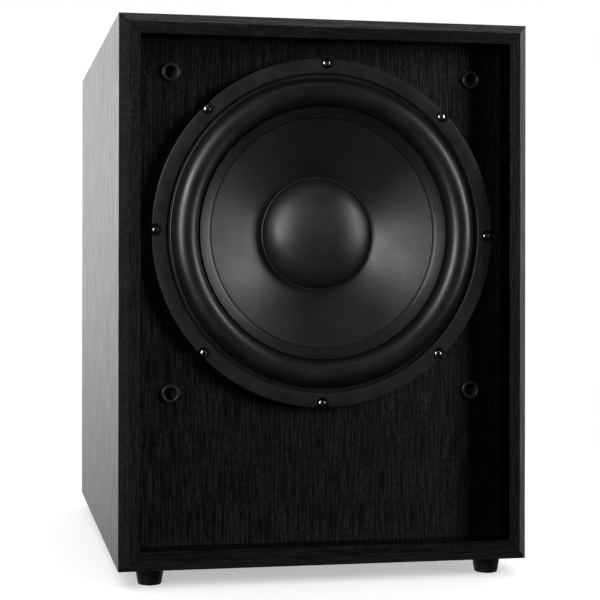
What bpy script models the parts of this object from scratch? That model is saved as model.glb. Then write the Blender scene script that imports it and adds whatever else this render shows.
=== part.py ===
"""Active subwoofer: a mitred black ash box with a 12-inch driver and a plate amplifier.

Metres, +Z up, the front faces -Y. The origin is the centre of the bounding box's bottom.
"""
import math

import bmesh
import bpy
from mathutils import Vector

MM = 0.001

# ---- driving dimensions ----
BOX_WIDTH = 360 * MM
BOX_HEIGHT = 470 * MM
BOX_DEPTH = 440 * MM
BOARD = 18 * MM
CHAMFER = 8 * MM
FOOT_HEIGHT = 14.5 * MM
REAR_REACH = 18 * MM          # how far the knobs stand out behind the box
GAP = 0.3 * MM                # between pieces that touch
GROOVE = 6 * MM               # depth of the grooves that hold the baffle and the rear panel
RECESS = 22 * MM              # front face of the baffle behind the front of the box
DRIVER_RISE = 286 * MM        # driver's axis above the underside of the box
CUTOUT_RADIUS = 141 * MM      # hole in the baffle for the driver
FLANGE_RADIUS = 151 * MM
GASKET_OUTER = 151.5 * MM
GASKET_INNER = 138.5 * MM
SCREW_CIRCLE = 147.7 * MM
SCREW_COUNT = 8
NOTCH_RADIUS = 5.4 * MM       # notches in the gasket round the screws
ROLL_OUTER = 134 * MM
ROLL_INNER = 110 * MM
NECK_RADIUS = 26 * MM
DUST_CAP_RADIUS = 50 * MM
COIL_BORE = 25 * MM
SOCKET_RADIUS = 8 * MM
SOCKET_BARREL = 6.6 * MM
SOCKET_BORE = 5.2 * MM
SOCKET_X = 134 * MM
SOCKET_RISES = (423 * MM, 148 * MM)
PORT_RADIUS = 33 * MM
PORT_WALL = 3 * MM
PORT_LENGTH = 150 * MM
PORT_RISE = 392 * MM
AMP_WIDTH = 230 * MM
AMP_HEIGHT = 250 * MM
AMP_RISE = 180 * MM           # centre of the amplifier plate above the underside of the box
PLATE = 3 * MM
PLATE_OVERLAP = 12 * MM       # the amplifier plate laps over its window in the rear panel

# ---- places worked out from them ----
FRONT_Y = -(BOX_DEPTH + REAR_REACH) / 2
REAR_Y = FRONT_Y + BOX_DEPTH
BAFFLE_Y = FRONT_Y + RECESS
REAR_PANEL_Y = REAR_Y - BOARD
BASE_Z = FOOT_HEIGHT
INNER_HALF = BOX_WIDTH / 2 - BOARD
INNER_LOW = BASE_Z + BOARD
INNER_HIGH = BASE_Z + BOX_HEIGHT - BOARD
BOX_MID_Z = BASE_Z + BOX_HEIGHT / 2
DRIVER_Z = BASE_Z + DRIVER_RISE
PORT_Z = BASE_Z + PORT_RISE
AMP_Z = BASE_Z + AMP_RISE
PLATE_BACK = REAR_Y + GAP + PLATE
TO_FRONT = (math.pi / 2, 0, 0)        # turns a shape's own +Z to the front, its +Y up
TO_REAR = (math.pi / 2, 0, math.pi)   # turns a shape's own +Z to the rear, its +Y up


# ---- making things ----
def material(name, color, roughness, metallic=0.0):
    made = bpy.data.materials.get(name)
    if made is None:
        made = bpy.data.materials.new(name)
        made.use_nodes = True
        shader = made.node_tree.nodes["Principled BSDF"]
        shader.inputs["Base Color"].default_value = (*color, 1)
        shader.inputs["Roughness"].default_value = roughness
        shader.inputs["Metallic"].default_value = metallic
    return made


def ash():
    return material("black_ash_vinyl", (0.025, 0.024, 0.024), 0.4)


def steel():
    return material("black_steel", (0.03, 0.03, 0.03), 0.45, 0.8)


def bare_steel():
    return material("plated_steel", (0.55, 0.54, 0.5), 0.35, 1.0)


def moulding():
    return material("black_moulding", (0.015, 0.015, 0.015), 0.5)


def rubber():
    return material("black_rubber", (0.012, 0.012, 0.012), 0.45)


def paper():
    return material("coated_paper", (0.03, 0.03, 0.032), 0.7)


def cap_paper():
    return material("pressed_cap", (0.02, 0.02, 0.022), 0.5)


def ferrite():
    return material("ferrite", (0.06, 0.06, 0.065), 0.8)


def copper():
    return material("copper_wire", (0.7, 0.3, 0.14), 0.35, 1.0)


def cloth():
    return material("spider_cloth", (0.55, 0.4, 0.16), 0.9)


def aluminium():
    return material("black_aluminium", (0.03, 0.03, 0.032), 0.4, 0.9)


def fibreglass():
    return material("green_fibreglass", (0.03, 0.16, 0.07), 0.5)


def wadding():
    return material("white_wadding", (0.75, 0.75, 0.72), 0.95)


def finish(obj, mat, parent=None, place=(0, 0, 0), turn=(0, 0, 0)):
    obj.data.materials.append(mat)
    obj.location = place
    obj.rotation_euler = turn
    obj.parent = parent
    return obj


def from_bmesh(name, bm, smooth=False):
    bmesh.ops.recalc_face_normals(bm, faces=bm.faces)
    mesh = bpy.data.meshes.new(name)
    bm.to_mesh(mesh)
    bm.free()
    if smooth:
        mesh.shade_smooth()
        mesh.set_sharp_from_angle(angle=math.radians(35))
    obj = bpy.data.objects.new(name, mesh)
    bpy.context.scene.collection.objects.link(obj)
    return obj


def empty(name, place, turn=(0, 0, 0), parent=None):
    obj = bpy.data.objects.new(name, None)
    obj.location = place
    obj.rotation_euler = turn
    obj.parent = parent
    bpy.context.scene.collection.objects.link(obj)
    return obj


def turned(name, outline, segments):
    """A ring, or a solid where the outline starts and ends at radius 0, turned about Z.

    outline is a list of (radius, height) points in order around the section.
    """
    bm = bmesh.new()
    axis_points = {}
    rings = []
    for index, (radius, height) in enumerate(outline):
        if radius == 0:
            axis_points[index] = bm.verts.new((0, 0, height))
            rings.append(None)
            continue
        ring = []
        for step in range(segments):
            angle = 2 * math.pi * step / segments
            ring.append(bm.verts.new((radius * math.cos(angle), radius * math.sin(angle), height)))
        rings.append(ring)
    for index in range(len(outline)):
        after = (index + 1) % len(outline)
        here, there = rings[index], rings[after]
        if here is None and there is None:
            continue
        for step in range(segments):
            following = (step + 1) % segments
            if here is None:
                bm.faces.new((axis_points[index], there[step], there[following]))
            elif there is None:
                bm.faces.new((here[step], here[following], axis_points[after]))
            else:
                bm.faces.new((here[step], here[following], there[following], there[step]))
    return from_bmesh(name, bm, smooth=True)


def shell_outline(path, thickness):
    """The closed section of a sheet of the given thickness that follows a path of (radius, height)."""
    sides = ([], [])
    for index, point in enumerate(path):
        before = Vector(path[max(index - 1, 0)])
        after = Vector(path[min(index + 1, len(path) - 1)])
        here = Vector(point)
        arriving = (here - before).normalized() if index > 0 else (after - here).normalized()
        leaving = (after - here).normalized() if index < len(path) - 1 else arriving
        normal_in = Vector((-arriving.y, arriving.x))
        normal_out = Vector((-leaving.y, leaving.x))
        mitre = (normal_in + normal_out).normalized()
        reach = thickness / 2 / max(mitre.dot(normal_in), 0.5)
        sides[0].append(tuple(here + mitre * reach))
        sides[1].append(tuple(here - mitre * reach))
    return sides[0] + sides[1][::-1]


def block(name, size, bevel=0.0):
    """A box centred on its own origin, with its edges bevelled once if bevel is given."""
    bm = bmesh.new()
    bmesh.ops.create_cube(bm, size=1)
    bmesh.ops.scale(bm, vec=size, verts=bm.verts)
    if bevel:
        bmesh.ops.bevel(bm, geom=list(bm.edges), offset=bevel, segments=1, affect='EDGES')
    return from_bmesh(name, bm)


def prism(name, outline, height):
    """An outline in the XY plane, extruded from z = 0 to height."""
    bm = bmesh.new()
    low = [bm.verts.new((x, y, 0)) for x, y in outline]
    high = [bm.verts.new((x, y, height)) for x, y in outline]
    bm.faces.new(low[::-1])
    bm.faces.new(high)
    for index in range(len(outline)):
        after = (index + 1) % len(outline)
        bm.faces.new((low[index], low[after], high[after], high[index]))
    return from_bmesh(name, bm)


def tube_curve(name, points, radius, sides, steps):
    """A closed round tube through the given points, read from a smooth curve at even steps."""
    ends = [points[0] * 2 - points[1]] + points + [points[-1] * 2 - points[-2]]
    samples = []
    for index in range(1, len(ends) - 2):
        a, b, c, d = ends[index - 1:index + 3]
        for step in range(steps):
            t = step / steps
            samples.append(0.5 * (2 * b + (c - a) * t + (2 * a - 5 * b + 4 * c - d) * t ** 2
                                  + (3 * b - a - 3 * c + d) * t ** 3))
    samples.append(points[-1])
    curve = bpy.data.curves.new(name, 'CURVE')
    curve.dimensions = '3D'
    curve.bevel_depth = radius
    curve.bevel_resolution = sides
    curve.use_fill_caps = True
    spline = curve.splines.new('POLY')
    spline.points.add(len(samples) - 1)
    for target, sample in zip(spline.points, samples):
        target.co = (*sample, 1)
    obj = bpy.data.objects.new(name, curve)
    bpy.context.scene.collection.objects.link(obj)
    return obj


def cut(obj, cutter):
    """Cuts the cutter out of the object and hides the cutter."""
    cutter.hide_render = True
    cutter.display_type = 'WIRE'
    modifier = obj.modifiers.new("cut_" + cutter.name, 'BOOLEAN')
    modifier.operation = 'DIFFERENCE'
    modifier.solver = 'EXACT'
    modifier.object = cutter


def union(obj, other):
    """Joins a second shape to the object, and hides the second shape."""
    cut(obj, other)
    obj.modifiers[-1].operation = 'UNION'


def cylinder(name, radius, low, high, segments):
    return turned(name, [(0, high), (radius, high), (radius, low), (0, low)], segments)


# ---- the box ----
def board_section():
    """Section of a board as (depth from the front, distance in from the outer face)."""
    baffle_low, baffle_high = RECESS - GAP, RECESS + BOARD + GAP
    rear = BOX_DEPTH - BOARD - GAP
    inner = BOARD - GROOVE
    return [(CHAMFER, 0), (0, CHAMFER), (0, BOARD), (baffle_low, BOARD), (baffle_low, inner),
            (baffle_high, inner), (baffle_high, BOARD), (rear, BOARD), (rear, inner),
            (BOX_DEPTH, inner), (BOX_DEPTH, 0)]


def mitred_board(name, length):
    """A board along X with its outer face up at z = 0, mitred at both ends."""
    bm = bmesh.new()
    ends = ([], [])
    for depth, inset in board_section():
        half = length / 2 - inset - GAP / 2
        ends[0].append(bm.verts.new((-half, depth, -inset)))
        ends[1].append(bm.verts.new((half, depth, -inset)))
    count = len(ends[0])
    bm.faces.new(ends[0])
    bm.faces.new(ends[1][::-1])
    for index in range(count):
        after = (index + 1) % count
        bm.faces.new((ends[0][after], ends[0][index], ends[1][index], ends[1][after]))
    return from_bmesh(name, bm)


def boards():
    quarter = math.pi / 2
    layout = {
        "top_panel": (BOX_WIDTH, (0, FRONT_Y, BASE_Z + BOX_HEIGHT), 0),
        "bottom_panel": (BOX_WIDTH, (0, FRONT_Y, BASE_Z), 2 * quarter),
        "left_panel": (BOX_HEIGHT, (-BOX_WIDTH / 2, FRONT_Y, BOX_MID_Z), -quarter),
        "right_panel": (BOX_HEIGHT, (BOX_WIDTH / 2, FRONT_Y, BOX_MID_Z), quarter),
    }
    for name, (length, place, angle) in layout.items():
        finish(mitred_board(name, length), ash(), None, place, (0, angle, 0))


def grooved_panel(name, front):
    """A board that stands in the grooves of the four outer boards, with its front face at y = front."""
    width = 2 * (INNER_HALF + GROOVE - GAP)
    height = INNER_HIGH - INNER_LOW + 2 * (GROOVE - GAP)
    return finish(block(name, (width, BOARD, height)), ash(), None, (0, front + BOARD / 2, BOX_MID_Z))


def bore(panel, name, radius, place, segments):
    """A round hole from front to back through a panel."""
    hole = cylinder(name, radius, -2 * BOARD, 2 * BOARD, segments)
    hole.location = place
    hole.rotation_euler = TO_FRONT
    cut(panel, hole)


def front_baffle():
    baffle = grooved_panel("front_baffle", BAFFLE_Y)
    bore(baffle, "driver_cutout", CUTOUT_RADIUS, (0, BAFFLE_Y, DRIVER_Z), 64)
    for place in socket_places():
        bore(baffle, "socket_seat", SOCKET_BARREL + GAP, place, 20)


def rear_panel():
    panel = grooved_panel("rear_panel", REAR_PANEL_Y)
    window = block("amp_window", (AMP_WIDTH - 2 * PLATE_OVERLAP, 3 * BOARD, AMP_HEIGHT - 2 * PLATE_OVERLAP))
    window.location = (0, REAR_Y, AMP_Z)
    cut(panel, window)
    bore(panel, "port_hole", PORT_RADIUS + PORT_WALL + GAP, (0, REAR_Y, PORT_Z), 32)


def cross_brace():
    """A ladder brace across the box behind the driver, with one large opening."""
    width = 2 * (INNER_HALF - GAP)
    height = INNER_HIGH - INNER_LOW - 2 * GAP
    frame = 30 * MM
    brace = finish(block("cross_brace", (width, BOARD, height)), material(
        "bare_board", (0.32, 0.22, 0.13), 0.8), None, (0, FRONT_Y + 200 * MM, BOX_MID_Z))
    opening = block("brace_opening", (width - 2 * frame, 3 * BOARD, height - 2 * frame))
    opening.location = brace.location
    cut(brace, opening)


def socket_places():
    return [(side * SOCKET_X, BAFFLE_Y, BASE_Z + rise) for rise in SOCKET_RISES for side in (-1, 1)]


def grille_sockets():
    """Flanged push-in cups: the flange lies on the baffle, the barrel sits in its hole."""
    top, length, base = 1.6 * MM + GAP, 14 * MM, 3 * MM
    outline = [(SOCKET_BORE, top - 0.6 * MM), (SOCKET_BORE + 0.8 * MM, top), (SOCKET_RADIUS - 1 * MM, top),
               (SOCKET_RADIUS, top - 0.8 * MM), (SOCKET_RADIUS, GAP), (SOCKET_BARREL, GAP),
               (SOCKET_BARREL, -length), (0, -length), (0, base - length), (SOCKET_BORE, base - length)]
    names = ("top_left", "top_right", "bottom_left", "bottom_right")
    for name, place in zip(names, socket_places()):
        socket = turned("grille_socket_" + name, outline, 20)
        finish(socket, moulding(), None, place, TO_FRONT)


def feet():
    """Tapered moulded feet under the corners of the bottom panel."""
    top, bottom = 12 * MM, 10.25 * MM
    high = FOOT_HEIGHT - GAP
    outline = [(0, high), (top, high), (top, high - 3 * MM), (bottom, 1 * MM), (bottom - 1 * MM, 0),
               (0, 0)]
    inset_x, inset_y = 29 * MM, 28 * MM
    for row, y in (("front", FRONT_Y + inset_y), ("rear", REAR_Y - inset_y)):
        for side, x in (("left", inset_x - BOX_WIDTH / 2), ("right", BOX_WIDTH / 2 - inset_x)):
            finish(turned(f"foot_{row}_{side}", outline, 24), moulding(), None, (x, y, 0))


def port_tube():
    """A flared tube through the rear panel, open to the inside of the box."""
    flare = PORT_RADIUS + 13 * MM
    lip = PORT_WALL + GAP
    outside = PORT_RADIUS + PORT_WALL
    outline = [(PORT_RADIUS, -12 * MM), (PORT_RADIUS + 2 * MM, -3 * MM), (PORT_RADIUS + 6 * MM, 1 * MM),
               (flare - 2 * MM, lip), (flare, lip - 1 * MM), (flare, GAP), (outside, GAP),
               (outside, -PORT_LENGTH), (PORT_RADIUS, -PORT_LENGTH)]
    finish(turned("port_tube", outline, 28), moulding(), None, (0, REAR_Y, PORT_Z), TO_REAR)


def wadding_pads():
    """Soft pads against the inner faces of the side boards, between the brace and the rear panel."""
    thickness, length, height = 26 * MM, 168 * MM, 340 * MM
    middle_y = FRONT_Y + 312 * MM
    for name, side in (("wadding_left", -1), ("wadding_right", 1)):
        pad = block(name, (thickness, length, height), 5 * MM)
        place = (side * (INNER_HALF - thickness / 2 - 1 * MM), middle_y, BOX_MID_Z)
        finish(pad, wadding(), None, place)


# ---- the driver: built with +Z to the front and z = 0 on the face of the baffle ----
FLANGE_MID = 1.55 * MM
FLANGE_TOP = 2.8 * MM
LEDGE_Z = -62 * MM
POT_Z = -79.5 * MM
POT_RADIUS = 58 * MM
TOP_PLATE_Z = -80.9 * MM
MAGNET_Z = -89.2 * MM
YOKE_Z = -109.5 * MM
TERMINAL_Z = -68 * MM
CONE_RISE = 42 * MM
CONE_EDGE_Z = 5 * MM


def cone_height(radius):
    """Height of the cone's front surface: nearly straight, a little steeper at the neck."""
    share = (ROLL_INNER - radius) / (ROLL_INNER - NECK_RADIUS)
    return CONE_EDGE_Z - CONE_RISE * share ** 1.1


def driver_basket(driver):
    """Pressed steel frame: a flange, a cone with six windows, and a pot that holds the spider and magnet."""
    wall = 2.0 * MM
    rim = 135 * MM
    path = [(FLANGE_RADIUS - 0.6 * MM, FLANGE_MID), (rim, FLANGE_MID), (rim, -7 * MM), (68 * MM, LEDGE_Z),
            (POT_RADIUS, LEDGE_Z), (POT_RADIUS, POT_Z), (34 * MM, POT_Z)]
    basket = finish(turned("driver_basket", shell_outline(path, wall), 48), steel(), driver)
    wedge_inner, wedge_outer = 73 * MM, 124 * MM
    half_angle = math.radians(21)
    steps = 4
    inner = [(wedge_inner, half_angle * (2 * i / steps - 1)) for i in range(steps + 1)]
    outer = [(wedge_outer, half_angle * (2 * i / steps - 1)) for i in range(steps, -1, -1)]
    outline = [(r * math.cos(a), r * math.sin(a)) for r, a in inner + outer]
    for index in range(6):
        window = prism(f"basket_window_{index}", outline, 70 * MM)
        window.location = (0, 0, -75 * MM)
        window.rotation_euler = (0, 0, index * math.pi / 3)
        window.parent = driver
        cut(basket, window)


def screw_angles():
    """The screws start just off the top, because the driver is turned a little in its cut-out."""
    return [math.radians(90 - 0.7) + 2 * math.pi * index / SCREW_COUNT for index in range(SCREW_COUNT)]


def driver_gasket(driver):
    """A flat ring with a chamfered rim, and a notch open to the outside round each screw."""
    low, high = FLANGE_TOP + GAP, 7 * MM
    edge = 0.8 * MM
    outline = [(GASKET_INNER, high - edge), (GASKET_INNER + edge, high), (GASKET_OUTER - edge, high),
               (GASKET_OUTER, high - edge), (GASKET_OUTER, low), (GASKET_INNER, low)]
    gasket = finish(turned("driver_gasket", outline, 64), material(
        "satin_gasket", (0.03, 0.03, 0.031), 0.42), driver)
    reach = 8 * MM
    arc = [(NOTCH_RADIUS * math.cos(math.radians(a)), NOTCH_RADIUS * math.sin(math.radians(a)))
           for a in range(90, 271, 20)]
    outline = arc + [(reach, -NOTCH_RADIUS), (reach, NOTCH_RADIUS)]
    for index, angle in enumerate(screw_angles()):
        notch = prism(f"gasket_notch_{index}", outline, 10 * MM)
        notch.location = (SCREW_CIRCLE * math.cos(angle), SCREW_CIRCLE * math.sin(angle), 0)
        notch.rotation_euler = (0, 0, angle)
        notch.parent = driver
        cut(gasket, notch)


def driver_screws(driver):
    """Pan-head screws that hold the flange to the baffle: head and the shank above the board."""
    base = FLANGE_TOP + GAP
    head, tall = 3.7 * MM, 2.6 * MM
    outline = [(0, base + tall), (head * 0.55, base + tall - 0.2 * MM), (head * 0.9, base + tall - 0.9 * MM),
               (head, base + 0.6 * MM), (head, base), (0, base)]
    first = None
    for index, angle in enumerate(screw_angles()):
        place = (SCREW_CIRCLE * math.cos(angle), SCREW_CIRCLE * math.sin(angle), 0)
        name = f"driver_screw_{index + 1}"
        if first is None:
            first = finish(turned(name, outline, 16), bare_steel(), driver, place)
            continue
        screw = bpy.data.objects.new(name, first.data)
        bpy.context.scene.collection.objects.link(screw)
        screw.location = place
        screw.parent = driver


def surround(driver):
    """Rubber half roll between the cone's edge and the flange, with a flat lip on either side."""
    wall = 1.0 * MM
    middle = (ROLL_OUTER + ROLL_INNER) / 2
    half = (ROLL_OUTER - ROLL_INNER) / 2
    foot = FLANGE_TOP + GAP + wall / 2
    height = 11 * MM
    drop = 2.2 * MM               # the lip is glued under the cone's edge
    lip = 101 * MM
    path = [(lip, cone_height(lip) - drop), (ROLL_INNER, CONE_EDGE_Z - drop),
            (ROLL_INNER + 1.3 * MM, CONE_EDGE_Z)]
    steps = 6
    for step in range(1, steps + 1):
        angle = math.pi * (1 - step / steps)
        path.append((middle + half * math.cos(angle), foot + height * math.sin(angle)))
    path.append((GASKET_INNER - GAP, foot))
    finish(turned("surround", shell_outline(path, wall), 48), rubber(), driver)


def spider(driver):
    """Corrugated cloth ring that keeps the coil centred."""
    inner, outer = COIL_BORE + 0.5 * MM + GAP, 65 * MM
    foot = LEDGE_Z + 1 * MM + GAP + 0.4 * MM
    waves = 3
    start, stop = inner + 4 * MM, POT_RADIUS
    path = [(inner, foot + 1 * MM)]
    count = waves * 4
    for step in range(count + 1):
        radius = start + (stop - start) * step / count
        path.append((radius, foot + 2.4 * MM + 2.2 * MM * math.sin(2 * math.pi * waves * step / count)))
    path += [(POT_RADIUS + 1.5 * MM, foot), (outer, foot)]
    finish(turned("spider", shell_outline(path, 0.8 * MM), 24), cloth(), driver)


def motor(driver):
    """Top plate, ring magnet and the yoke whose pole stands inside the voice coil."""
    plate = 8 * MM
    plate_bore, plate_radius = COIL_BORE + 2.4 * MM, 60 * MM
    plate_low = TOP_PLATE_Z - plate
    outline = [(plate_bore, TOP_PLATE_Z), (plate_radius, TOP_PLATE_Z), (plate_radius, plate_low),
               (plate_bore, plate_low)]
    finish(turned("top_plate", outline, 40), bare_steel(), driver)
    magnet_bore, magnet_radius, magnet_low, edge = 33 * MM, 77 * MM, YOKE_Z + GAP, 1.5 * MM
    outline = [(magnet_bore, MAGNET_Z), (magnet_radius - edge, MAGNET_Z), (magnet_radius, MAGNET_Z - edge),
               (magnet_radius, magnet_low + edge), (magnet_radius - edge, magnet_low),
               (magnet_bore, magnet_low)]
    finish(turned("ring_magnet", outline, 40), ferrite(), driver)
    pole, vent, yoke_radius, bevel = COIL_BORE - 0.6 * MM, 8 * MM, 70 * MM, 2 * MM
    back = YOKE_Z - plate
    outline = [(vent, TOP_PLATE_Z), (pole, TOP_PLATE_Z), (pole, YOKE_Z), (yoke_radius, YOKE_Z),
               (yoke_radius, back + bevel), (yoke_radius - bevel, back), (vent, back)]
    finish(turned("pole_yoke", outline, 40), bare_steel(), driver)


def terminal_board(driver):
    """Fibre board that stands out from the side of the pot."""
    reach = 27 * MM
    board = block("terminal_board", (reach, 34 * MM, 2 * MM))
    finish(board, material("brown_fibre", (0.25, 0.13, 0.06), 0.6), driver,
           (POT_RADIUS + 1.5 * MM + reach / 2, 0, TERMINAL_Z))


def tinsel_leads(driver):
    """Two braided leads that loop from the cone's back to the terminal board."""
    for name, side in (("tinsel_lead_left", 1), ("tinsel_lead_right", -1)):
        route = [Vector((43 * MM, side * 8 * MM, -33.5 * MM)), Vector((54 * MM, side * 9 * MM, -43 * MM)),
                 Vector((68 * MM, side * 10 * MM, -47 * MM)), Vector((79 * MM, side * 10 * MM, -53 * MM)),
                 Vector((81 * MM, side * 10 * MM, -66.4 * MM))]
        lead = tube_curve(name, route, 0.9 * MM, 1, 5)
        finish(lead, copper(), driver)


# ---- the cone assembly, which slides along the driver's axis ----
def paper_cone(mover):
    wall = 1.2 * MM
    radii = (NECK_RADIUS, DUST_CAP_RADIUS, 80 * MM, ROLL_INNER - 0.5 * MM)
    front = [(radius, cone_height(radius)) for radius in radii]
    back = [(radius, height - wall) for radius, height in reversed(front)]
    finish(turned("paper_cone", front + back, 48), paper(), mover)


def dust_cap(mover):
    """Shallow dome with a narrow lip that rests on the cone."""
    rim = cone_height(DUST_CAP_RADIUS) + GAP + 0.3 * MM
    rise = 21 * MM
    skin = 1.0 * MM
    outside, inside = [], []
    steps = 6
    for step in range(steps + 1):
        angle = math.pi / 2 * step / steps
        radius = (DUST_CAP_RADIUS - 2 * MM) * math.cos(angle)
        outside.append((0 if step == steps else radius, rim + skin + rise * math.sin(angle) ** 0.9))
        if step:
            inside.append((0 if step == steps else max(radius - skin * math.cos(angle), 0),
                           rim + rise * math.sin(angle) ** 0.9))
    lip = [(DUST_CAP_RADIUS - 3.2 * MM, rim), (DUST_CAP_RADIUS + 1 * MM, rim + 0.6 * MM),
           (DUST_CAP_RADIUS + 1 * MM, rim + skin)]
    outline = inside[::-1] + lip + outside
    finish(turned("dust_cap", outline, 32), cap_paper(), mover)


def coil(mover):
    """Paper former glued into the cone's neck, and the copper winding on its far end."""
    top = cone_height(NECK_RADIUS) + 1 * MM
    inner, outer = COIL_BORE, COIL_BORE + 0.5 * MM
    low = -98 * MM
    outline = [(inner, top), (outer, top), (outer, low), (inner, low)]
    finish(turned("coil_former", outline, 24), material("coil_paper", (0.35, 0.22, 0.1), 0.7), mover)
    inner, outer = outer + GAP, outer + GAP + 1.1 * MM
    wound_from, wound_to = -76 * MM, low + 1 * MM
    outline = [(inner, wound_from), (outer, wound_from), (outer, wound_to), (inner, wound_to)]
    finish(turned("voice_coil", outline, 24), copper(), mover)


# ---- the amplifier: built with +Z to the rear and z = 0 on the outer face of its plate ----
KNOB_X = -62 * MM
KNOB_YS = (84 * MM, 38 * MM)
SWITCH_Y = -4 * MM
INPUT_Y = -52 * MM
INLET_Y = -92 * MM
INLET_X = 44 * MM
ROCKER_X = -2 * MM
FUSE_X = 84 * MM
SHAFT_HOLE = 4.2 * MM         # radius
FUSE_BARREL = 5.8 * MM        # radius
SWITCH_BODY = (16 * MM, 8 * MM)
INLET_BODY = (28 * MM, 20 * MM)
ROCKER_BODY = (13 * MM, 19 * MM)
INPUT_BODY = (40 * MM, 16 * MM)
CIRCUIT_BOARD = 1.6 * MM
CIRCUIT_BOARD_Z = -PLATE - 14 * MM
PHASE_TRAVEL = 6 * MM         # the lever rests at one end of it
ROCKER_TILT = math.radians(8)  # the rocker rests tilted to its off side


def placed(piece, parent, x, y, z=0.0):
    piece.location = (x, y, z)
    piece.parent = parent
    return piece


def slot_for(size):
    """A cutter for a rectangular hole that a body of this width and height passes through."""
    return block("rectangular_hole", (size[0] + 2 * GAP, size[1] + 2 * GAP, 20 * MM))


def amp_plate(amp):
    plate = finish(block("amp_plate", (AMP_WIDTH, AMP_HEIGHT, PLATE)), aluminium(), amp, (0, 0, -PLATE / 2))
    for y in KNOB_YS:
        cut(plate, placed(cylinder("shaft_hole", SHAFT_HOLE, -2 * PLATE, 2 * PLATE, 16), amp, KNOB_X, y))
    fuse_hole = cylinder("fuse_hole", FUSE_BARREL + GAP, -2 * PLATE, 2 * PLATE, 20)
    cut(plate, placed(fuse_hole, amp, FUSE_X, INLET_Y))
    for size, x, y in ((SWITCH_BODY, KNOB_X, SWITCH_Y), (INLET_BODY, INLET_X, INLET_Y),
                       (ROCKER_BODY, ROCKER_X, INLET_Y), (INPUT_BODY, KNOB_X, INPUT_Y)):
        cut(plate, placed(slot_for(size), amp, x, y))


def heat_sink(amp):
    """Finned extrusion on the outside of the plate: the fins stand up from a thin web."""
    width, tall, web, fin = 130 * MM, 110 * MM, 3 * MM, 1.8 * MM
    depth = 14 * MM
    count = 13
    pitch = (width - fin) / (count - 1)
    outline = [(-width / 2, 0), (width / 2, 0)]
    for index in range(count - 1, -1, -1):
        left = -width / 2 + index * pitch
        outline += [(left + fin, web), (left + fin, depth), (left, depth), (left, web)]
    trimmed = [outline[0], outline[1]] + outline[3:-1]
    sink = prism("heat_sink", trimmed, tall)
    finish(sink, aluminium(), amp, (33 * MM, 52 * MM + tall / 2, GAP), (math.pi / 2, 0, 0))


def circuit_board(amp):
    """The amplifier's board, on posts behind the plate, with its two reservoir capacitors."""
    board = block("circuit_board", (170 * MM, 92 * MM, CIRCUIT_BOARD))
    finish(board, fibreglass(), amp, (0, 64 * MM, CIRCUIT_BOARD_Z))
    low = CIRCUIT_BOARD_Z - CIRCUIT_BOARD / 2 - GAP
    radius, tall, edge = 15 * MM, 34 * MM, 1.5 * MM
    outline = [(0, low), (radius - edge, low), (radius, low - edge), (radius, low - tall + edge),
               (radius - edge, low - tall), (0, low - tall)]
    for index, x in enumerate((28 * MM, 64 * MM)):
        name = f"capacitor_{index + 1}"
        finish(turned(name, outline, 20), material("capacitor_sleeve", (0.02, 0.03, 0.08), 0.35), amp,
               (x, 84 * MM, 0))


def transformer(amp):
    """Toroidal mains transformer, bolted flat to the inside of the plate."""
    core, hub, tall = 45 * MM, 14 * MM, 40 * MM
    top = -PLATE - GAP
    edge = 6 * MM
    outline = [(hub, top - 2 * MM), (hub + 4 * MM, top), (core - edge, top), (core, top - edge),
               (core, top - tall + edge), (core - edge, top - tall), (hub + 4 * MM, top - tall),
               (hub, top - tall + 2 * MM)]
    finish(turned("transformer", outline, 24), material("lacquered_winding", (0.5, 0.36, 0.08), 0.4), amp,
           (32 * MM, -34 * MM, 0))


def turning_controls(amp, axes):
    """Two potentiometers behind the plate, and their knobs, each on its own axis empty."""
    shaft_radius, crest, valley, tall, ribs = 3 * MM, 11.5 * MM, 10.9 * MM, 14 * MM, 18
    for (name, y), axis in zip((("volume", KNOB_YS[0]), ("crossover", KNOB_YS[1])), axes):
        body = cylinder(name + "_potentiometer", 8 * MM, -PLATE - 9 * MM, -PLATE - GAP, 20)
        shaft_bore = cylinder(name + "_bore", shaft_radius + 0.6 * MM, -PLATE - 6.4 * MM, 0, 12)
        body.data.materials.append(bare_steel())
        cut(placed(body, amp, KNOB_X, y), placed(shaft_bore, amp, KNOB_X, y))
        outline = []
        for step in range(ribs * 2):
            angle = math.pi * step / ribs
            radius = crest if step % 2 else valley
            outline.append((radius * math.cos(angle), radius * math.sin(angle)))
        knob = finish(prism(name + "_knob", outline, tall), moulding(), axis, (0, 0, 0.7 * MM))
        union(knob, placed(cylinder(name + "_shaft", shaft_radius, -9 * MM, 6 * MM, 12), knob, 0, 0))
        groove = block(name + "_pointer_groove", (1.4 * MM, 9 * MM, 2 * MM))
        cut(knob, placed(groove, knob, 0, 7.5 * MM, tall))


def phase_switch(amp, slider_axis):
    body = finish(block("phase_switch_body", (*SWITCH_BODY, 8 * MM)), moulding(), amp,
                  (KNOB_X, SWITCH_Y, -3.2 * MM))
    lever = 4 * MM
    slot = block("phase_switch_slot", (lever + PHASE_TRAVEL + 2 * GAP, lever + 2 * GAP, 8 * MM))
    cut(body, placed(slot, amp, KNOB_X, SWITCH_Y, 0.8 * MM))
    finish(block("phase_switch_lever", (lever, lever, 6 * MM), 0.4 * MM), bare_steel(), slider_axis,
           (0, 0, 0.3 * MM))


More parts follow.
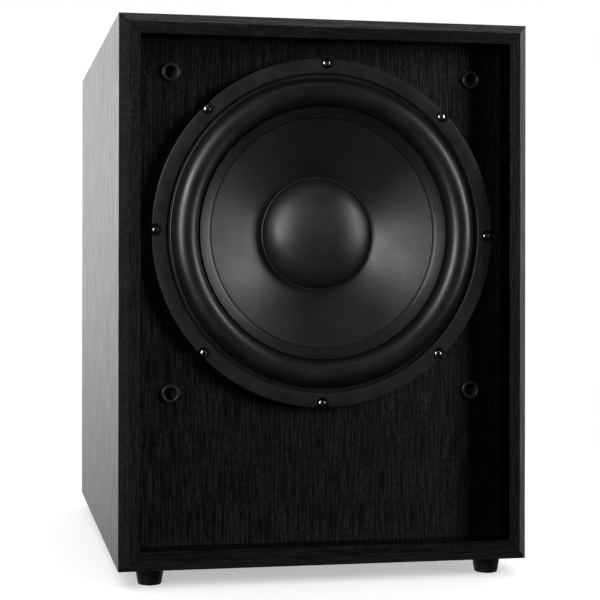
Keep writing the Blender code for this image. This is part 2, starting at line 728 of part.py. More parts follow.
def power_switch(amp, rocker_axis):
    """A rocker whose two faces slope up from the middle, in a frame with an open pocket."""
    width, height = ROCKER_BODY
    rim, wall = 2 * MM, 1.3 * MM
    frame = finish(block("power_rocker_frame", (width + 2 * rim, height + 2 * rim, rim)), moulding(), amp,
                   (ROCKER_X, INLET_Y, GAP + rim / 2))
    barrel = block("power_rocker_barrel", (width, height, 16 * MM))
    union(frame, placed(barrel, amp, ROCKER_X, INLET_Y, -6 * MM))
    pocket = block("power_rocker_pocket", (width - 2 * wall, height - 2 * wall, 20 * MM))
    cut(frame, placed(pocket, amp, ROCKER_X, INLET_Y))
    half, thick = 7 * MM, 9.6 * MM
    tip = 1.2 * MM + half * math.tan(math.radians(10))
    face = [(-half, -2 * MM), (half, -2 * MM), (half, tip), (0, 0.9 * MM), (-half, tip)]
    finish(prism("power_rocker", face, thick), moulding(), rocker_axis, (-thick / 2, 0, 0),
           (math.pi / 2, 0, math.pi / 2))


def mains_inlet(amp):
    """A flanged socket with three blades, for a detachable mains lead."""
    width, height = INLET_BODY
    rim, wall = 3 * MM, 2 * MM
    flange = block("mains_inlet", (width + 2 * rim, height + 2 * rim, 2.4 * MM), 0.6 * MM)
    inlet = finish(flange, moulding(), amp, (INLET_X, INLET_Y, GAP + 1.2 * MM))
    shell = block("mains_inlet_shell", (width, height, 22 * MM))
    union(inlet, placed(shell, amp, INLET_X, INLET_Y, -9 * MM))
    cavity = block("mains_inlet_cavity", (width - 2 * wall, height - 2 * wall, 20 * MM))
    cut(inlet, placed(cavity, amp, INLET_X, INLET_Y, -6 * MM))
    for x, y in ((-7 * MM, 0), (0, 4 * MM), (7 * MM, 0)):
        blade = block("mains_inlet_blade", (2 * MM, 4 * MM, 14 * MM))
        union(inlet, placed(blade, amp, INLET_X + x, INLET_Y + y, -10 * MM))


def fuse_holder(amp):
    cap, cap_top, flange, flange_top = 6 * MM, 9 * MM, 8 * MM, 2.4 * MM
    edge = 0.6 * MM
    outline = [(0, cap_top), (cap - edge, cap_top), (cap, cap_top - edge), (cap, flange_top),
               (flange, flange_top), (flange, GAP), (FUSE_BARREL, GAP), (FUSE_BARREL, -24 * MM),
               (0, -24 * MM)]
    finish(turned("fuse_holder", outline, 20), moulding(), amp, (FUSE_X, INLET_Y, 0))


def line_inputs(amp):
    """Moulded block with the two phono sleeves of the line input."""
    width, height = INPUT_BODY
    rim = 3 * MM
    inputs = finish(block("line_input_block", (width + 2 * rim, height + 2 * rim, 2 * MM)), moulding(), amp,
                    (KNOB_X, INPUT_Y, GAP + 1 * MM))
    union(inputs, placed(block("line_input_body", (width, height, 14 * MM)), amp, KNOB_X, INPUT_Y, -5 * MM))
    bore_radius, sleeve_radius, tip = 1.6 * MM, 4.1 * MM, 11 * MM
    outline = [(bore_radius, tip), (sleeve_radius, tip), (sleeve_radius, 1 * MM), (0, 1 * MM), (0, 3 * MM),
               (bore_radius, 3 * MM)]
    for x in (-10 * MM, 10 * MM):
        union(inputs, placed(turned("line_input_sleeve", outline, 16), amp, KNOB_X + x, INPUT_Y))


def speaker_lead():
    """Twin lead from the circuit board to the driver's terminal board, clipped along the box."""
    radius = 2.2 * MM
    board_y = PLATE_BACK + CIRCUIT_BOARD_Z - CIRCUIT_BOARD / 2 - 1.4 * MM
    board_end = Vector((-60 * MM, board_y, AMP_Z + 64 * MM))
    terminal_x = POT_RADIUS + 1.5 * MM + 20 * MM
    terminal_y = BAFFLE_Y - TERMINAL_Z + 1 * MM + GAP
    route = [board_end, Vector((-66 * MM, 130 * MM, AMP_Z + 66 * MM)),
             Vector((-40 * MM, 70 * MM, AMP_Z + 40 * MM)), Vector((40 * MM, 20 * MM, AMP_Z + 30 * MM)),
             Vector((92 * MM, -30 * MM, AMP_Z + 50 * MM)), Vector((96 * MM, -80 * MM, DRIVER_Z - 30 * MM)),
             Vector((terminal_x + 4 * MM, -112 * MM, DRIVER_Z - 6 * MM)),
             Vector((terminal_x, terminal_y + 1.5 * MM, DRIVER_Z))]
    finish(tube_curve("speaker_lead", route, radius, 2, 5), material("red_cable", (0.3, 0.02, 0.02), 0.5))


def build():
    for old in list(bpy.data.objects):
        bpy.data.objects.remove(old, do_unlink=True)
    boards()
    front_baffle()
    rear_panel()
    cross_brace()
    grille_sockets()
    feet()
    port_tube()
    wadding_pads()

    driver = empty("driver_axis", (0, BAFFLE_Y, DRIVER_Z), TO_FRONT)
    driver_basket(driver)
    driver_gasket(driver)
    driver_screws(driver)
    surround(driver)
    spider(driver)
    motor(driver)
    terminal_board(driver)
    tinsel_leads(driver)
    mover = empty("cone_slide_axis", (0, 0, 0), parent=driver)
    paper_cone(mover)
    dust_cap(mover)
    coil(mover)

    amp = empty("amp_frame", (0, PLATE_BACK, AMP_Z), TO_REAR)
    amp_plate(amp)
    heat_sink(amp)
    circuit_board(amp)
    transformer(amp)
    knob_axes = [empty(f"knob_axis_{index}", (KNOB_X, y, 0), parent=amp) for index, y in enumerate(KNOB_YS)]
    turning_controls(amp, knob_axes)
    slider_axis = empty("phase_slide_axis", (KNOB_X - PHASE_TRAVEL / 2, SWITCH_Y, 0), parent=amp)
    rocker_axis = empty("rocker_axis", (ROCKER_X, INLET_Y, 2.2 * MM), (-ROCKER_TILT, 0, 0), amp)
    phase_switch(amp, slider_axis)
    power_switch(amp, rocker_axis)
    mains_inlet(amp)
    fuse_holder(amp)
    line_inputs(amp)
    speaker_lead()


build()
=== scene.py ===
"""Looks of the black ash subwoofer: finer meshes, materials, floor, light and camera.

Everything is in metres in the frame of the CAD model: +Z up, the driver faces -Y.
"""
import math

import bmesh
import bpy
from mathutils import Matrix, Vector

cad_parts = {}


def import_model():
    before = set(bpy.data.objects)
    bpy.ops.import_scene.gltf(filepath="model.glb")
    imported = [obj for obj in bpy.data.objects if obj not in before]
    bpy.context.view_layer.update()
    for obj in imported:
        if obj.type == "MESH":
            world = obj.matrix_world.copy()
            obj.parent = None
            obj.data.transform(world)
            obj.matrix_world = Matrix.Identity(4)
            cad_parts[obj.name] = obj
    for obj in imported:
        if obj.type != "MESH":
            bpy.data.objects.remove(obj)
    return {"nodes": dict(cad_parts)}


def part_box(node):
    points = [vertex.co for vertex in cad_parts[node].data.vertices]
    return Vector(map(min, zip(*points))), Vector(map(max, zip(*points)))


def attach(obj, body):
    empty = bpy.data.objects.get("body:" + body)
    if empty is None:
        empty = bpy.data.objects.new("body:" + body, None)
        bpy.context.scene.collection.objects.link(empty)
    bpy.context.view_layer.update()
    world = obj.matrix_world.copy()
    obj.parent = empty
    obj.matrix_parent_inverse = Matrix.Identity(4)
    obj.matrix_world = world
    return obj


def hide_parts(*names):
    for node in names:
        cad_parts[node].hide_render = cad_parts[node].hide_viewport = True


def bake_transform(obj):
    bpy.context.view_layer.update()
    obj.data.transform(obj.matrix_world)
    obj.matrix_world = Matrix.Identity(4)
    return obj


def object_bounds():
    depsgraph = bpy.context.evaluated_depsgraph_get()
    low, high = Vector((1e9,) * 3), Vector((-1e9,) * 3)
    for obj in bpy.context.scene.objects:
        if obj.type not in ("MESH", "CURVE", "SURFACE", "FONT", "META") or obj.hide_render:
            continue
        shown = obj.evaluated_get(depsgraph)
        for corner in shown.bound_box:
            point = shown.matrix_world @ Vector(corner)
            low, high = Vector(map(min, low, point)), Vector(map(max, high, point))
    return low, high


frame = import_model()
cad_low, cad_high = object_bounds()

MM = 0.001
at = Matrix.Translation           # at(point) is an upright place there
FRONT_TURN = Matrix.Rotation(math.pi / 2, 4, 'X')
REAR_TURN = Matrix.Rotation(math.pi, 4, 'Z') @ FRONT_TURN

# ---- places taken from the frame ----
gasket_low, gasket_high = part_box("driver_gasket")
baffle_low, baffle_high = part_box("front_baffle")
cone_low, cone_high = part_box("paper_cone")
plate_low, plate_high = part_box("amp_plate")
left_low, left_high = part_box("left_panel")

DRIVER = Vector(((gasket_low.x + gasket_high.x) / 2, baffle_low.y, (gasket_low.z + gasket_high.z) / 2))
DRIVER_FRAME = at(DRIVER) @ FRONT_TURN
GASKET_OUTER = (gasket_high.x - gasket_low.x) / 2
GASKET_TOP = baffle_low.y - gasket_low.y
BOARD = left_high.x - left_low.x
SEAM_RADIUS = 100 * MM            # where the cone's paper is glued to its edge


# ---- materials ----
class Nodes:
    """A new material with short calls for the nodes it needs; distances are in metres."""

    def __init__(self, name):
        self.material = bpy.data.materials.new(name)
        self.material.use_nodes = True
        self.tree = self.material.node_tree
        self.shader = self.tree.nodes["Principled BSDF"]
        self.place = self.add("ShaderNodeTexCoord").outputs["Object"]

    def add(self, kind, **settings):
        node = self.tree.nodes.new(kind)
        for key, value in settings.items():
            setattr(node, key, value)
        return node

    def join(self, source, target):
        if isinstance(source, (int, float, tuple)):
            target.default_value = source
        else:
            self.tree.links.new(source, target)

    def put(self, node, **values):
        """Sets a node's unlinked inputs; an underscore in a key stands for a space."""
        for key, value in values.items():
            node.inputs[key.replace("_", " ")].default_value = value

    def scaled(self, scale, source=None):
        node = self.add("ShaderNodeMapping")
        self.join(source or self.place, node.inputs["Vector"])
        self.put(node, Scale=scale)
        return node.outputs["Vector"]

    def noise(self, scale, detail=2.0, rough=0.5, source=None):
        """Noise whose features are 1 / scale metres across; a scale per axis stretches them."""
        if isinstance(scale, tuple):
            source, scale = self.scaled(scale, source), 1.0
        node = self.add("ShaderNodeTexNoise")
        self.join(source or self.place, node.inputs["Vector"])
        self.put(node, Scale=scale, Detail=detail, Roughness=rough)
        return node.outputs["Fac"]

    def spread(self, value, low, high, to_low=0.0, to_high=1.0):
        """Maps low..high to to_low..to_high, clamped."""
        node = self.add("ShaderNodeMapRange")
        self.join(value, node.inputs["Value"])
        self.put(node, From_Min=low, From_Max=high, To_Min=to_low, To_Max=to_high)
        return node.outputs["Result"]

    def math(self, operation, a, b=0.0):
        node = self.add("ShaderNodeMath", operation=operation)
        self.join(a, node.inputs[0])
        self.join(b, node.inputs[1])
        return node.outputs[0]

    def times(self, a, b):
        return self.math('MULTIPLY', a, b)

    def mix(self, share, dark, light):
        node = self.add("ShaderNodeMix", data_type='RGBA')
        self.join(share, node.inputs[0])
        for socket, colour in ((node.inputs[6], dark), (node.inputs[7], light)):
            self.join((*colour, 1.0) if isinstance(colour, tuple) else colour, socket)
        return node.outputs[2]

    def bump(self, height, distance):
        node = self.add("ShaderNodeBump")
        self.join(height, node.inputs["Height"])
        self.put(node, Distance=distance)
        return node.outputs["Normal"]

    def finish(self, colour, roughness, normal=None, metallic=0.0, specular=0.5):
        self.join((*colour, 1.0) if isinstance(colour, tuple) else colour, self.shader.inputs["Base Color"])
        self.join(roughness, self.shader.inputs["Roughness"])
        self.put(self.shader, Metallic=metallic, Specular_IOR_Level=specular)
        if normal is not None:
            self.join(normal, self.shader.inputs["Normal"])
        return self.material


def ash_vinyl(name, along, gloss=0.3, dark=(0.0015, 0.0015, 0.0015), light=(0.016, 0.0158, 0.0156),
              beads=0.6, recess=False):
    """Black ash foil: short raised fibres and open pores that run along one axis ('X', 'Y' or 'Z').

    beads is how strongly the fibres break up along their length; recess paints shade on the board edges
    that face the recess as a near-black colour, makes them glossier, and dulls the top of the box.
    """
    def stretched(across, length):
        return tuple(length if axis == along else across for axis in "XYZ")

    nodes = Nodes(name)
    sway = nodes.add("ShaderNodeVectorMath", operation='MULTIPLY_ADD')
    drift = nodes.add("ShaderNodeTexNoise")
    nodes.join(nodes.scaled(stretched(30.0, 22.0)), drift.inputs["Vector"])
    nodes.join(drift.outputs["Color"], sway.inputs[0])
    sway.inputs[1].default_value = tuple(0.0 if axis == along else 0.0014 for axis in "XYZ")
    nodes.join(nodes.place, sway.inputs[2])
    wavy = sway.outputs[0]
    fibres = nodes.noise(stretched(640.0, 30.0), detail=0.0, source=wavy)
    pores = nodes.noise(stretched(520.0, 270.0), detail=1.0, source=wavy)
    figure = nodes.noise(stretched(60.0, 6.0), detail=2.0, source=wavy)
    ridge = nodes.spread(fibres, 0.36, 0.62)
    pits = nodes.spread(pores, 0.36, 0.6)
    grain = nodes.times(ridge, nodes.spread(pits, 0, 1, 1 - beads, 1.0))
    tone = nodes.times(grain, nodes.spread(figure, 0.3, 0.7, 0.7, 1.0))
    height = nodes.math('ADD', nodes.times(ridge, 0.6), nodes.times(pits, 0.4))
    colour, rough = nodes.mix(tone, dark, light), nodes.spread(ridge, 0, 1, gloss + 0.1, gloss)
    if recess:
        apart = nodes.add("ShaderNodeSeparateXYZ")
        nodes.join(nodes.place, apart.inputs[0])
        slack = 0.4 * MM
        beside = nodes.math('LESS_THAN', nodes.math('ABSOLUTE', apart.outputs["X"]), slack - left_high.x)
        above = nodes.math('GREATER_THAN', apart.outputs["Z"], left_low.z + BOARD - slack)
        below = nodes.math('LESS_THAN', apart.outputs["Z"], left_high.z - BOARD + slack)
        ahead = nodes.math('LESS_THAN', apart.outputs["Y"], baffle_low.y)
        inner = nodes.times(nodes.times(ahead, beside), nodes.times(above, below))
        # painted shade: the board faces inside the recess (the inner mask) are coloured near black for the shade that
        # falls there
        colour = nodes.mix(inner, colour, (0.0006, 0.0006, 0.0006))
        inner_share, top_dulling = 0.4, 0.22
        rough = nodes.times(rough, nodes.spread(inner, 0, 1, 1.0, inner_share))
        top_face = nodes.math('GREATER_THAN', apart.outputs["Z"], left_high.z - 0.2 * MM)
        rough = nodes.math('ADD', rough, nodes.times(top_face, top_dulling))
    return nodes.finish(colour, rough, nodes.bump(height, 0.14 * MM), specular=0.34)


def moulded(name, colour=(0.012, 0.012, 0.0125), gloss=0.42, grain=0.03 * MM):
    nodes = Nodes(name)
    speck = nodes.noise(1500.0, detail=2.0)
    cloud = nodes.noise(60.0, detail=2.0)
    lighter = tuple(1.35 * channel for channel in colour)
    return nodes.finish(nodes.mix(cloud, colour, lighter), nodes.spread(cloud, 0.3, 0.7, gloss - 0.05, gloss + 0.06),
                        nodes.bump(speck, grain))


def rubber(name):
    """Glossy moulded rubber with a faint orange peel."""
    nodes = Nodes(name)
    peel = nodes.noise(420.0, detail=3.0)
    smear = nodes.noise(35.0, detail=2.0)
    return nodes.finish((0.006, 0.006, 0.0065), nodes.spread(smear, 0.3, 0.7, 0.33, 0.44),
                        nodes.bump(peel, 0.08 * MM), specular=0.6)


def cone_paper(name):
    """Coated paper pulp: fibre clumps and a cloudy gloss, and outside the glued seam a coarser, paler band."""
    nodes = Nodes(name)
    clumps = nodes.noise(520.0, detail=4.0, rough=0.65)
    clouds = nodes.noise(26.0, detail=3.0)
    flecks = nodes.noise(1400.0, detail=2.0)
    axis = nodes.add("ShaderNodeVectorMath", operation='MULTIPLY_ADD')
    nodes.join(nodes.place, axis.inputs[0])
    axis.inputs[1].default_value = (1, 0, 1)
    axis.inputs[2].default_value = (-DRIVER.x, 0, -DRIVER.z)
    length = nodes.add("ShaderNodeVectorMath", operation='LENGTH')
    nodes.join(axis.outputs[0], length.inputs[0])
    radius = length.outputs["Value"]
    band = nodes.spread(radius, SEAM_RADIUS, SEAM_RADIUS + 0.6 * MM)
    line = nodes.times(nodes.spread(radius, SEAM_RADIUS - 1.2 * MM, SEAM_RADIUS - 0.3 * MM),
                      nodes.spread(radius, SEAM_RADIUS, SEAM_RADIUS + 0.6 * MM, 1.0, 0.0))
    tone = nodes.times(nodes.spread(clumps, 0.35, 0.7), nodes.spread(clouds, 0.3, 0.7, 0.5, 1.0))
    inside = nodes.mix(tone, (0.005, 0.005, 0.0055), (0.014, 0.014, 0.0145))
    outside = nodes.mix(nodes.spread(flecks, 0.4, 0.6), (0.002, 0.002, 0.0022), (0.014, 0.014, 0.0144))
    colour = nodes.mix(line, nodes.mix(band, inside, outside), (0.002, 0.002, 0.002))
    height = nodes.math('ADD', clumps, nodes.times(flecks, nodes.spread(band, 0, 1, 0.35, 0.9)))
    height = nodes.math('SUBTRACT', height, nodes.times(line, 4.0))
    gloss = nodes.math('SUBTRACT', nodes.spread(clouds, 0.3, 0.7, 0.36, 0.46), nodes.times(band, 0.09))
    return nodes.finish(colour, gloss, nodes.bump(height, 0.08 * MM), specular=0.5)


def cap_material(name):
    nodes = Nodes(name)
    grain = nodes.noise(900.0, detail=3.0)
    clouds = nodes.noise(30.0, detail=2.0)
    return nodes.finish((0.012, 0.012, 0.0125), nodes.spread(clouds, 0.3, 0.7, 0.38, 0.5),
                        nodes.bump(grain, 0.05 * MM), specular=0.7)


def metal(name, colour, gloss=0.3, brushed=None):
    nodes = Nodes(name)
    streaks = nodes.noise(brushed or (700.0, 700.0, 700.0), detail=3.0)
    stain = nodes.noise(45.0, detail=2.0)
    darker = tuple(0.75 * channel for channel in colour)
    return nodes.finish(nodes.mix(stain, darker, colour), nodes.spread(streaks, 0.3, 0.7, gloss - 0.08, gloss + 0.12),
                        nodes.bump(streaks, 0.02 * MM), metallic=1.0)


def grainy(name, colour, rough=0.8, scale=300.0, depth=0.15 * MM, spread=0.5):
    """Fibrous or sintered stuff, such as raw board, ferrite, cloth and wadding."""
    nodes = Nodes(name)
    grains = nodes.noise(scale, detail=5.0, rough=0.7)
    darker = tuple(channel * (1 - spread) for channel in colour)
    return nodes.finish(nodes.mix(nodes.spread(grains, 0.3, 0.7), darker, colour), rough, nodes.bump(grains, depth))


VERTICAL_ASH = ash_vinyl("black_ash_vertical", 'Z', recess=True)
LEVEL_ASH = ash_vinyl("black_ash_level", 'X', recess=True)
# painted light: the baffle's copy of the ash foil is much lighter than the frame's, standing in for the left light
# that the flag keeps off it
LIGHTENED_BAFFLE_ASH = ash_vinyl("black_ash_baffle_painted_light", 'Z', 0.3, (0.012, 0.012, 0.012), (0.066, 0.0654, 0.0648), 0.65)
MOULDING = moulded("black_moulding", (0.008, 0.008, 0.0083), 0.34)
FOOT_RUBBER = moulded("foot_rubber", (0.003, 0.003, 0.003), 0.5)
GASKET = moulded("satin_gasket", (0.009, 0.009, 0.0093), 0.4, 0.02 * MM)
RUBBER = rubber("surround_rubber")
CONE = cone_paper("coated_cone_paper")
CAP = cap_material("pressed_cap")
SCREW_STEEL = metal("plated_screw", (0.32, 0.315, 0.31), 0.2)
PLATED = metal("zinc_plated_steel", (0.6, 0.58, 0.54), 0.3)
POWDER = moulded("powder_coat", (0.006, 0.006, 0.006), 0.5, 0.06 * MM)
ANODISED = moulded("black_anodised", (0.016, 0.016, 0.017), 0.38, 0.015 * MM)
FERRITE = grainy("ferrite", (0.05, 0.05, 0.054), 0.65, 900.0, 0.05 * MM)
COPPER = metal("copper_wire", (0.75, 0.32, 0.16), 0.28)
CLOTH = grainy("spider_cloth", (0.5, 0.33, 0.1), 0.85, 700.0, 0.12 * MM)
FORMER = grainy("coil_former_paper", (0.33, 0.2, 0.09), 0.7, 500.0, 0.05 * MM, 0.3)
RAW_BOARD = grainy("raw_fibreboard", (0.36, 0.25, 0.15), 0.85, 450.0, 0.15 * MM, 0.35)
WADDING = grainy("polyester_wadding", (0.78, 0.78, 0.76), 0.95, 160.0, 1.2 * MM, 0.25)
FIBREGLASS = grainy("fibreglass_board", (0.02, 0.13, 0.05), 0.45, 800.0, 0.02 * MM, 0.3)
FIBRE_BOARD = grainy("brown_fibre_board", (0.2, 0.1, 0.05), 0.6, 600.0, 0.04 * MM, 0.3)
SLEEVE = moulded("capacitor_sleeve", (0.01, 0.018, 0.07), 0.25)
WINDING = grainy("lacquered_winding", (0.55, 0.38, 0.07), 0.35, 350.0, 0.2 * MM, 0.4)
CABLE = moulded("red_cable", (0.25, 0.012, 0.012), 0.45)
BLACK_STEEL = moulded("blacked_steel", (0.012, 0.012, 0.012), 0.3)
PRINT = moulded("white_print", (0.6, 0.6, 0.58), 0.55)
WHITE_RING = moulded("white_ring", (0.55, 0.55, 0.52), 0.35)
RED_RING = moulded("red_ring", (0.4, 0.01, 0.01), 0.35)
CERAMIC = moulded("beige_ceramic", (0.36, 0.26, 0.14), 0.5)


# ---- mesh helpers ----
def from_bmesh(name, bm, material, smooth_angle=None):
    bmesh.ops.recalc_face_normals(bm, faces=bm.faces)
    mesh = bpy.data.meshes.new(name)
    bm.to_mesh(mesh)
    bm.free()
    if smooth_angle:
        mesh.shade_smooth()
        mesh.set_sharp_from_angle(angle=math.radians(smooth_angle))
    mesh.materials.append(material)
    obj = bpy.data.objects.new(name, mesh)
    bpy.context.scene.collection.objects.link(obj)
    return obj


def turned(name, outline, segments, material, place, smooth_angle=50):
    """A turned solid: (radius, height) points in order round its section, about the place's own Z."""
    bm = bmesh.new()
    rings = []
    for radius, height in outline:
        if radius < 1e-7:
            rings.append(bm.verts.new(place @ Vector((0, 0, height))))
            continue
        rings.append([bm.verts.new(place @ Vector((radius * math.cos(2 * math.pi * step / segments),
                                                   radius * math.sin(2 * math.pi * step / segments), height)))
                      for step in range(segments)])
    for index, here in enumerate(rings):
        there = rings[(index + 1) % len(rings)]
        if not isinstance(here, list) and not isinstance(there, list):
            continue
        for step in range(segments):
            after = (step + 1) % segments
            if not isinstance(here, list):
                bm.faces.new((here, there[step], there[after]))
            elif not isinstance(there, list):
                bm.faces.new((here[step], here[after], there))
            else:
                bm.faces.new((here[step], here[after], there[after], there[step]))
    return from_bmesh(name, bm, material, smooth_angle)


def arc(centre, radius, start, end, steps):
    """Points round an arc in the (radius, height) plane, angles in degrees."""
    return [(centre[0] + radius * math.cos(math.radians(start + (end - start) * step / steps)),
             centre[1] + radius * math.sin(math.radians(start + (end - start) * step / steps)))
            for step in range(steps + 1)]


def rim(radius, height, size, steps=4):
    """A rounded outer edge, from the top face round to the side."""
    return arc((radius - size, height - size), size, 90, 0, steps)


def heel(radius, height, size, steps=4):
    """A rounded outer edge, from the side round to the bottom face."""
    return arc((radius - size, height + size), size, 0, -90, steps)


def offset(path, distance):
    """The path moved sideways, to the left of its direction."""
    moved = []
    for index, point in enumerate(path):
        before = Vector(path[max(index - 1, 0)])
        after = Vector(path[min(index + 1, len(path) - 1)])
        along = (after - before).normalized()
        moved.append((point[0] - along.y * distance, point[1] + along.x * distance))
    return moved


def shell(path, thickness):
    """The closed section of a sheet whose front side is the path."""
    return path + offset(path, -thickness)[::-1]


def shell_inward(path, thickness):
    inner = [(max(radius, 0), height) for radius, height in offset(path, -thickness)]
    inner[0] = (0, path[0][1] - thickness)
    return path + inner[::-1]


def rounded(points, reach, steps=4):
    """The path with each inner corner replaced by a short curve that starts and ends a reach from it."""
    path = [points[0]]
    for before, corner, after in zip(points, points[1:-1], points[2:]):
        a, b, c = Vector(before), Vector(corner), Vector(after)
        start = b + (a - b).normalized() * min(reach, (a - b).length / 2)
        end = b + (c - b).normalized() * min(reach, (c - b).length / 2)
        for step in range(steps + 1):
            t = step / steps
            path.append(tuple(start * (1 - t) ** 2 + b * 2 * t * (1 - t) + end * t ** 2))
    return path + [points[-1]]


def smooth_route(points, steps):
    """Evenly stepped points of a smooth curve through the given ones."""
    ends = [points[0] * 2 - points[1]] + points + [points[-1] * 2 - points[-2]]
    route = []
    for index in range(1, len(ends) - 2):
        a, b, c, d = ends[index - 1:index + 3]
        for step in range(steps):
            t = step / steps
            route.append(0.5 * (2 * b + (c - a) * t + (2 * a - 5 * b + 4 * c - d) * t ** 2
                                + (3 * b - a - 3 * c + d) * t ** 3))
    return route + [points[-1]]


def tube(bm, route, radius, sides=12, aside=0.0):
    """Adds a closed tube along the route; radius is a number, or a function of (angle, distance).

    aside moves the tube sideways, for a second conductor that lies next to the first.
    """
    if not callable(radius):
        def radius(angle, distance, fixed=radius):
            return fixed
    rings = []
    across = (route[1] - route[0]).orthogonal().normalized()
    distance = 0.0
    for index, point in enumerate(route):
        before, after = route[max(index - 1, 0)], route[min(index + 1, len(route) - 1)]
        along = (after - before).normalized()
        across = (across - along * across.dot(along)).normalized()
        upward = along.cross(across)
        distance += (point - before).length
        centre = point + across * aside
        angles = [2 * math.pi * side / sides for side in range(sides)]
        rings.append([bm.verts.new(centre + (across * math.cos(angle) + upward * math.sin(angle))
                                   * radius(angle, distance)) for angle in angles])
    for here, there in zip(rings, rings[1:]):
        for side in range(sides):
            after = (side + 1) % sides
            bm.faces.new((here[side], here[after], there[after], there[side]))
    bm.faces.new(rings[0][::-1])
    bm.faces.new(rings[-1])


def add_box(bm, size, place, bevel=0.0):
    """Adds a box of this size, centred on the place's own origin, with rounded edges."""
    made = bmesh.ops.create_cube(bm, size=1)["verts"]
    bmesh.ops.scale(bm, vec=size, verts=made)
    if bevel:
        edges = list({edge for vert in made for edge in vert.link_edges})
        made = bmesh.ops.bevel(bm, geom=edges, offset=bevel, segments=2, affect='EDGES', profile=0.5)["verts"]
    bmesh.ops.transform(bm, matrix=place, verts=made)


def bake_modifier(obj, modifier):
    bpy.context.view_layer.update()
    with bpy.context.temp_override(object=obj, active_object=obj, selected_objects=[obj]):
        bpy.ops.object.modifier_apply(modifier=modifier.name)


def cut_away(obj, cutter):
    """Cuts the cutter out of the piece and removes the cutter."""
    boolean = obj.modifiers.new("cut", 'BOOLEAN')
    boolean.object = cutter
    boolean.solver = 'EXACT'
    bake_modifier(obj, boolean)
    bpy.data.objects.remove(cutter, do_unlink=True)


def softened(obj, width, segments=2):
    """Rounds the sharp edges of a piece or CAD node with a bevel modifier."""
    bevel = obj.modifiers.new("edges", 'BEVEL')
    bevel.width = width
    bevel.segments = segments
    bevel.limit_method = 'ANGLE'
    bevel.angle_limit = math.radians(35)
    bevel.harden_normals = False
    return obj


def paint(node, material, bevel=0.0):
    obj = frame["nodes"][node]
    obj.data.materials.clear()
    obj.data.materials.append(material)
    if bevel:
        softened(obj, bevel)
    return obj


def assign(piece, body, slot, *nodes):
    """Puts a piece on its body, in place of CAD nodes or as an extra detail; slot is not used."""
    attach(piece, body)
    if nodes:
        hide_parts(*nodes)
    return piece


# ---- cabinet ----
def cabinet():
    edge = 0.5 * MM
    for node in ("left_panel", "right_panel"):
        paint(node, VERTICAL_ASH, edge)
    for node in ("top_panel", "bottom_panel"):
        paint(node, LEVEL_ASH, edge)
    paint("front_baffle", LIGHTENED_BAFFLE_ASH)
    paint("rear_panel", VERTICAL_ASH)
    paint("cross_brace", RAW_BOARD, 0.6 * MM)


def grille_sockets():
    """Push-in cups: a rounded bright rim round a dark sleeve with a blind bore inside."""
    for row in ("top", "bottom"):
        for side in ("left", "right"):
            node = f"grille_socket_{row}_{side}"
            low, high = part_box(node)
            centre = Vector(((low.x + high.x) / 2, baffle_low.y, (low.z + high.z) / 2))
            outer = (high.x - low.x) / 2
            depth = high.y - baffle_low.y
            barrel = outer - 1.4 * MM
            rim = 1.0 * MM
            bore = outer - 2.8 * MM
            outline = [(bore, -depth + 3 * MM), (bore, -1 * MM)]
            outline += arc((bore + rim, 0.9 * MM), rim, 180, 90, 6)
            outline += arc((outer - 0.9 * MM, 1.0 * MM), 0.9 * MM, 90, 0, 6)
            outline += [(outer, 0.3 * MM), (barrel, 0.3 * MM), (barrel, -depth), (0, -depth),
                        (0, -depth + 3 * MM)]
            cup = turned(node + "_cup", outline, 48, MOULDING, at(centre) @ FRONT_TURN)
            assign(cup, "cabinet", "moulding", node)


def feet():
    for row in ("front", "rear"):
        for side in ("left", "right"):
            node = f"foot_{row}_{side}"
            low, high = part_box(node)
            top = (high.x - low.x) / 2
            bottom = top - 1.75 * MM
            tall = high.z - low.z
            place = at(((low.x + high.x) / 2, (low.y + high.y) / 2, low.z))
            outline = [(0, tall), (top, tall)] + arc((top - 0.8 * MM, tall - 3 * MM), 0.8 * MM, 0, -30, 3)
            outline += arc((bottom - 1.2 * MM, 1.2 * MM), 1.2 * MM, 0, -90, 5) + [(3 * MM, 0)]
            outline += [(2.6 * MM, 2 * MM), (0, 2 * MM)]
            assign(turned(node + "_pad", outline, 48, FOOT_RUBBER, place, 40), "cabinet", "moulding", node)


# ---- driver ----
NOTCH_RADIUS = 5.4 * MM


def screw_places():
    """Each driver screw's node, and the point on its axis."""
    for number in range(1, 9):
        node = f"driver_screw_{number}"
        low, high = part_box(node)
        yield node, Vector(((low.x + high.x) / 2, 0, (low.z + high.z) / 2))


def gasket():
    """Flat satin ring: rounded rims, and a round notch open to the outside at each screw."""
    low, high = baffle_low.y - gasket_high.y, GASKET_TOP
    inner = 138.5 * MM
    outline = arc((inner + 0.7 * MM, high - 0.7 * MM), 0.7 * MM, 180, 90, 4)
    outline += rim(GASKET_OUTER, high, 0.8 * MM)
    outline += [(GASKET_OUTER, low), (inner, low)]
    ring = turned("gasket_ring", outline, 256, GASKET, DRIVER_FRAME, 40)
    for index, (_, centre) in enumerate(screw_places()):
        away = Vector((centre.x - DRIVER.x, centre.z - DRIVER.z))
        angle = math.atan2(away.y, away.x)
        place = DRIVER_FRAME @ at((away.x, away.y, 0)) @ Matrix.Rotation(angle, 4, 'Z')
        bm = bmesh.new()
        loop = arc((0, 0), NOTCH_RADIUS, 90, 270, 16) + [(9 * MM, -NOTCH_RADIUS), (9 * MM, NOTCH_RADIUS)]
        low_ring = [bm.verts.new(place @ Vector((x, y, -5 * MM))) for x, y in loop]
        high_ring = [bm.verts.new(place @ Vector((x, y, 12 * MM))) for x, y in loop]
        bm.faces.new(low_ring)
        bm.faces.new(high_ring)
        for step in range(len(loop)):
            after = (step + 1) % len(loop)
            bm.faces.new((low_ring[step], low_ring[after], high_ring[after], high_ring[step]))
        cut_away(ring, from_bmesh(f"notch_cutter_{index}", bm, GASKET))
    ring.data.set_sharp_from_angle(angle=math.radians(40))
    assign(ring, "cabinet", "gasket", "driver_gasket")


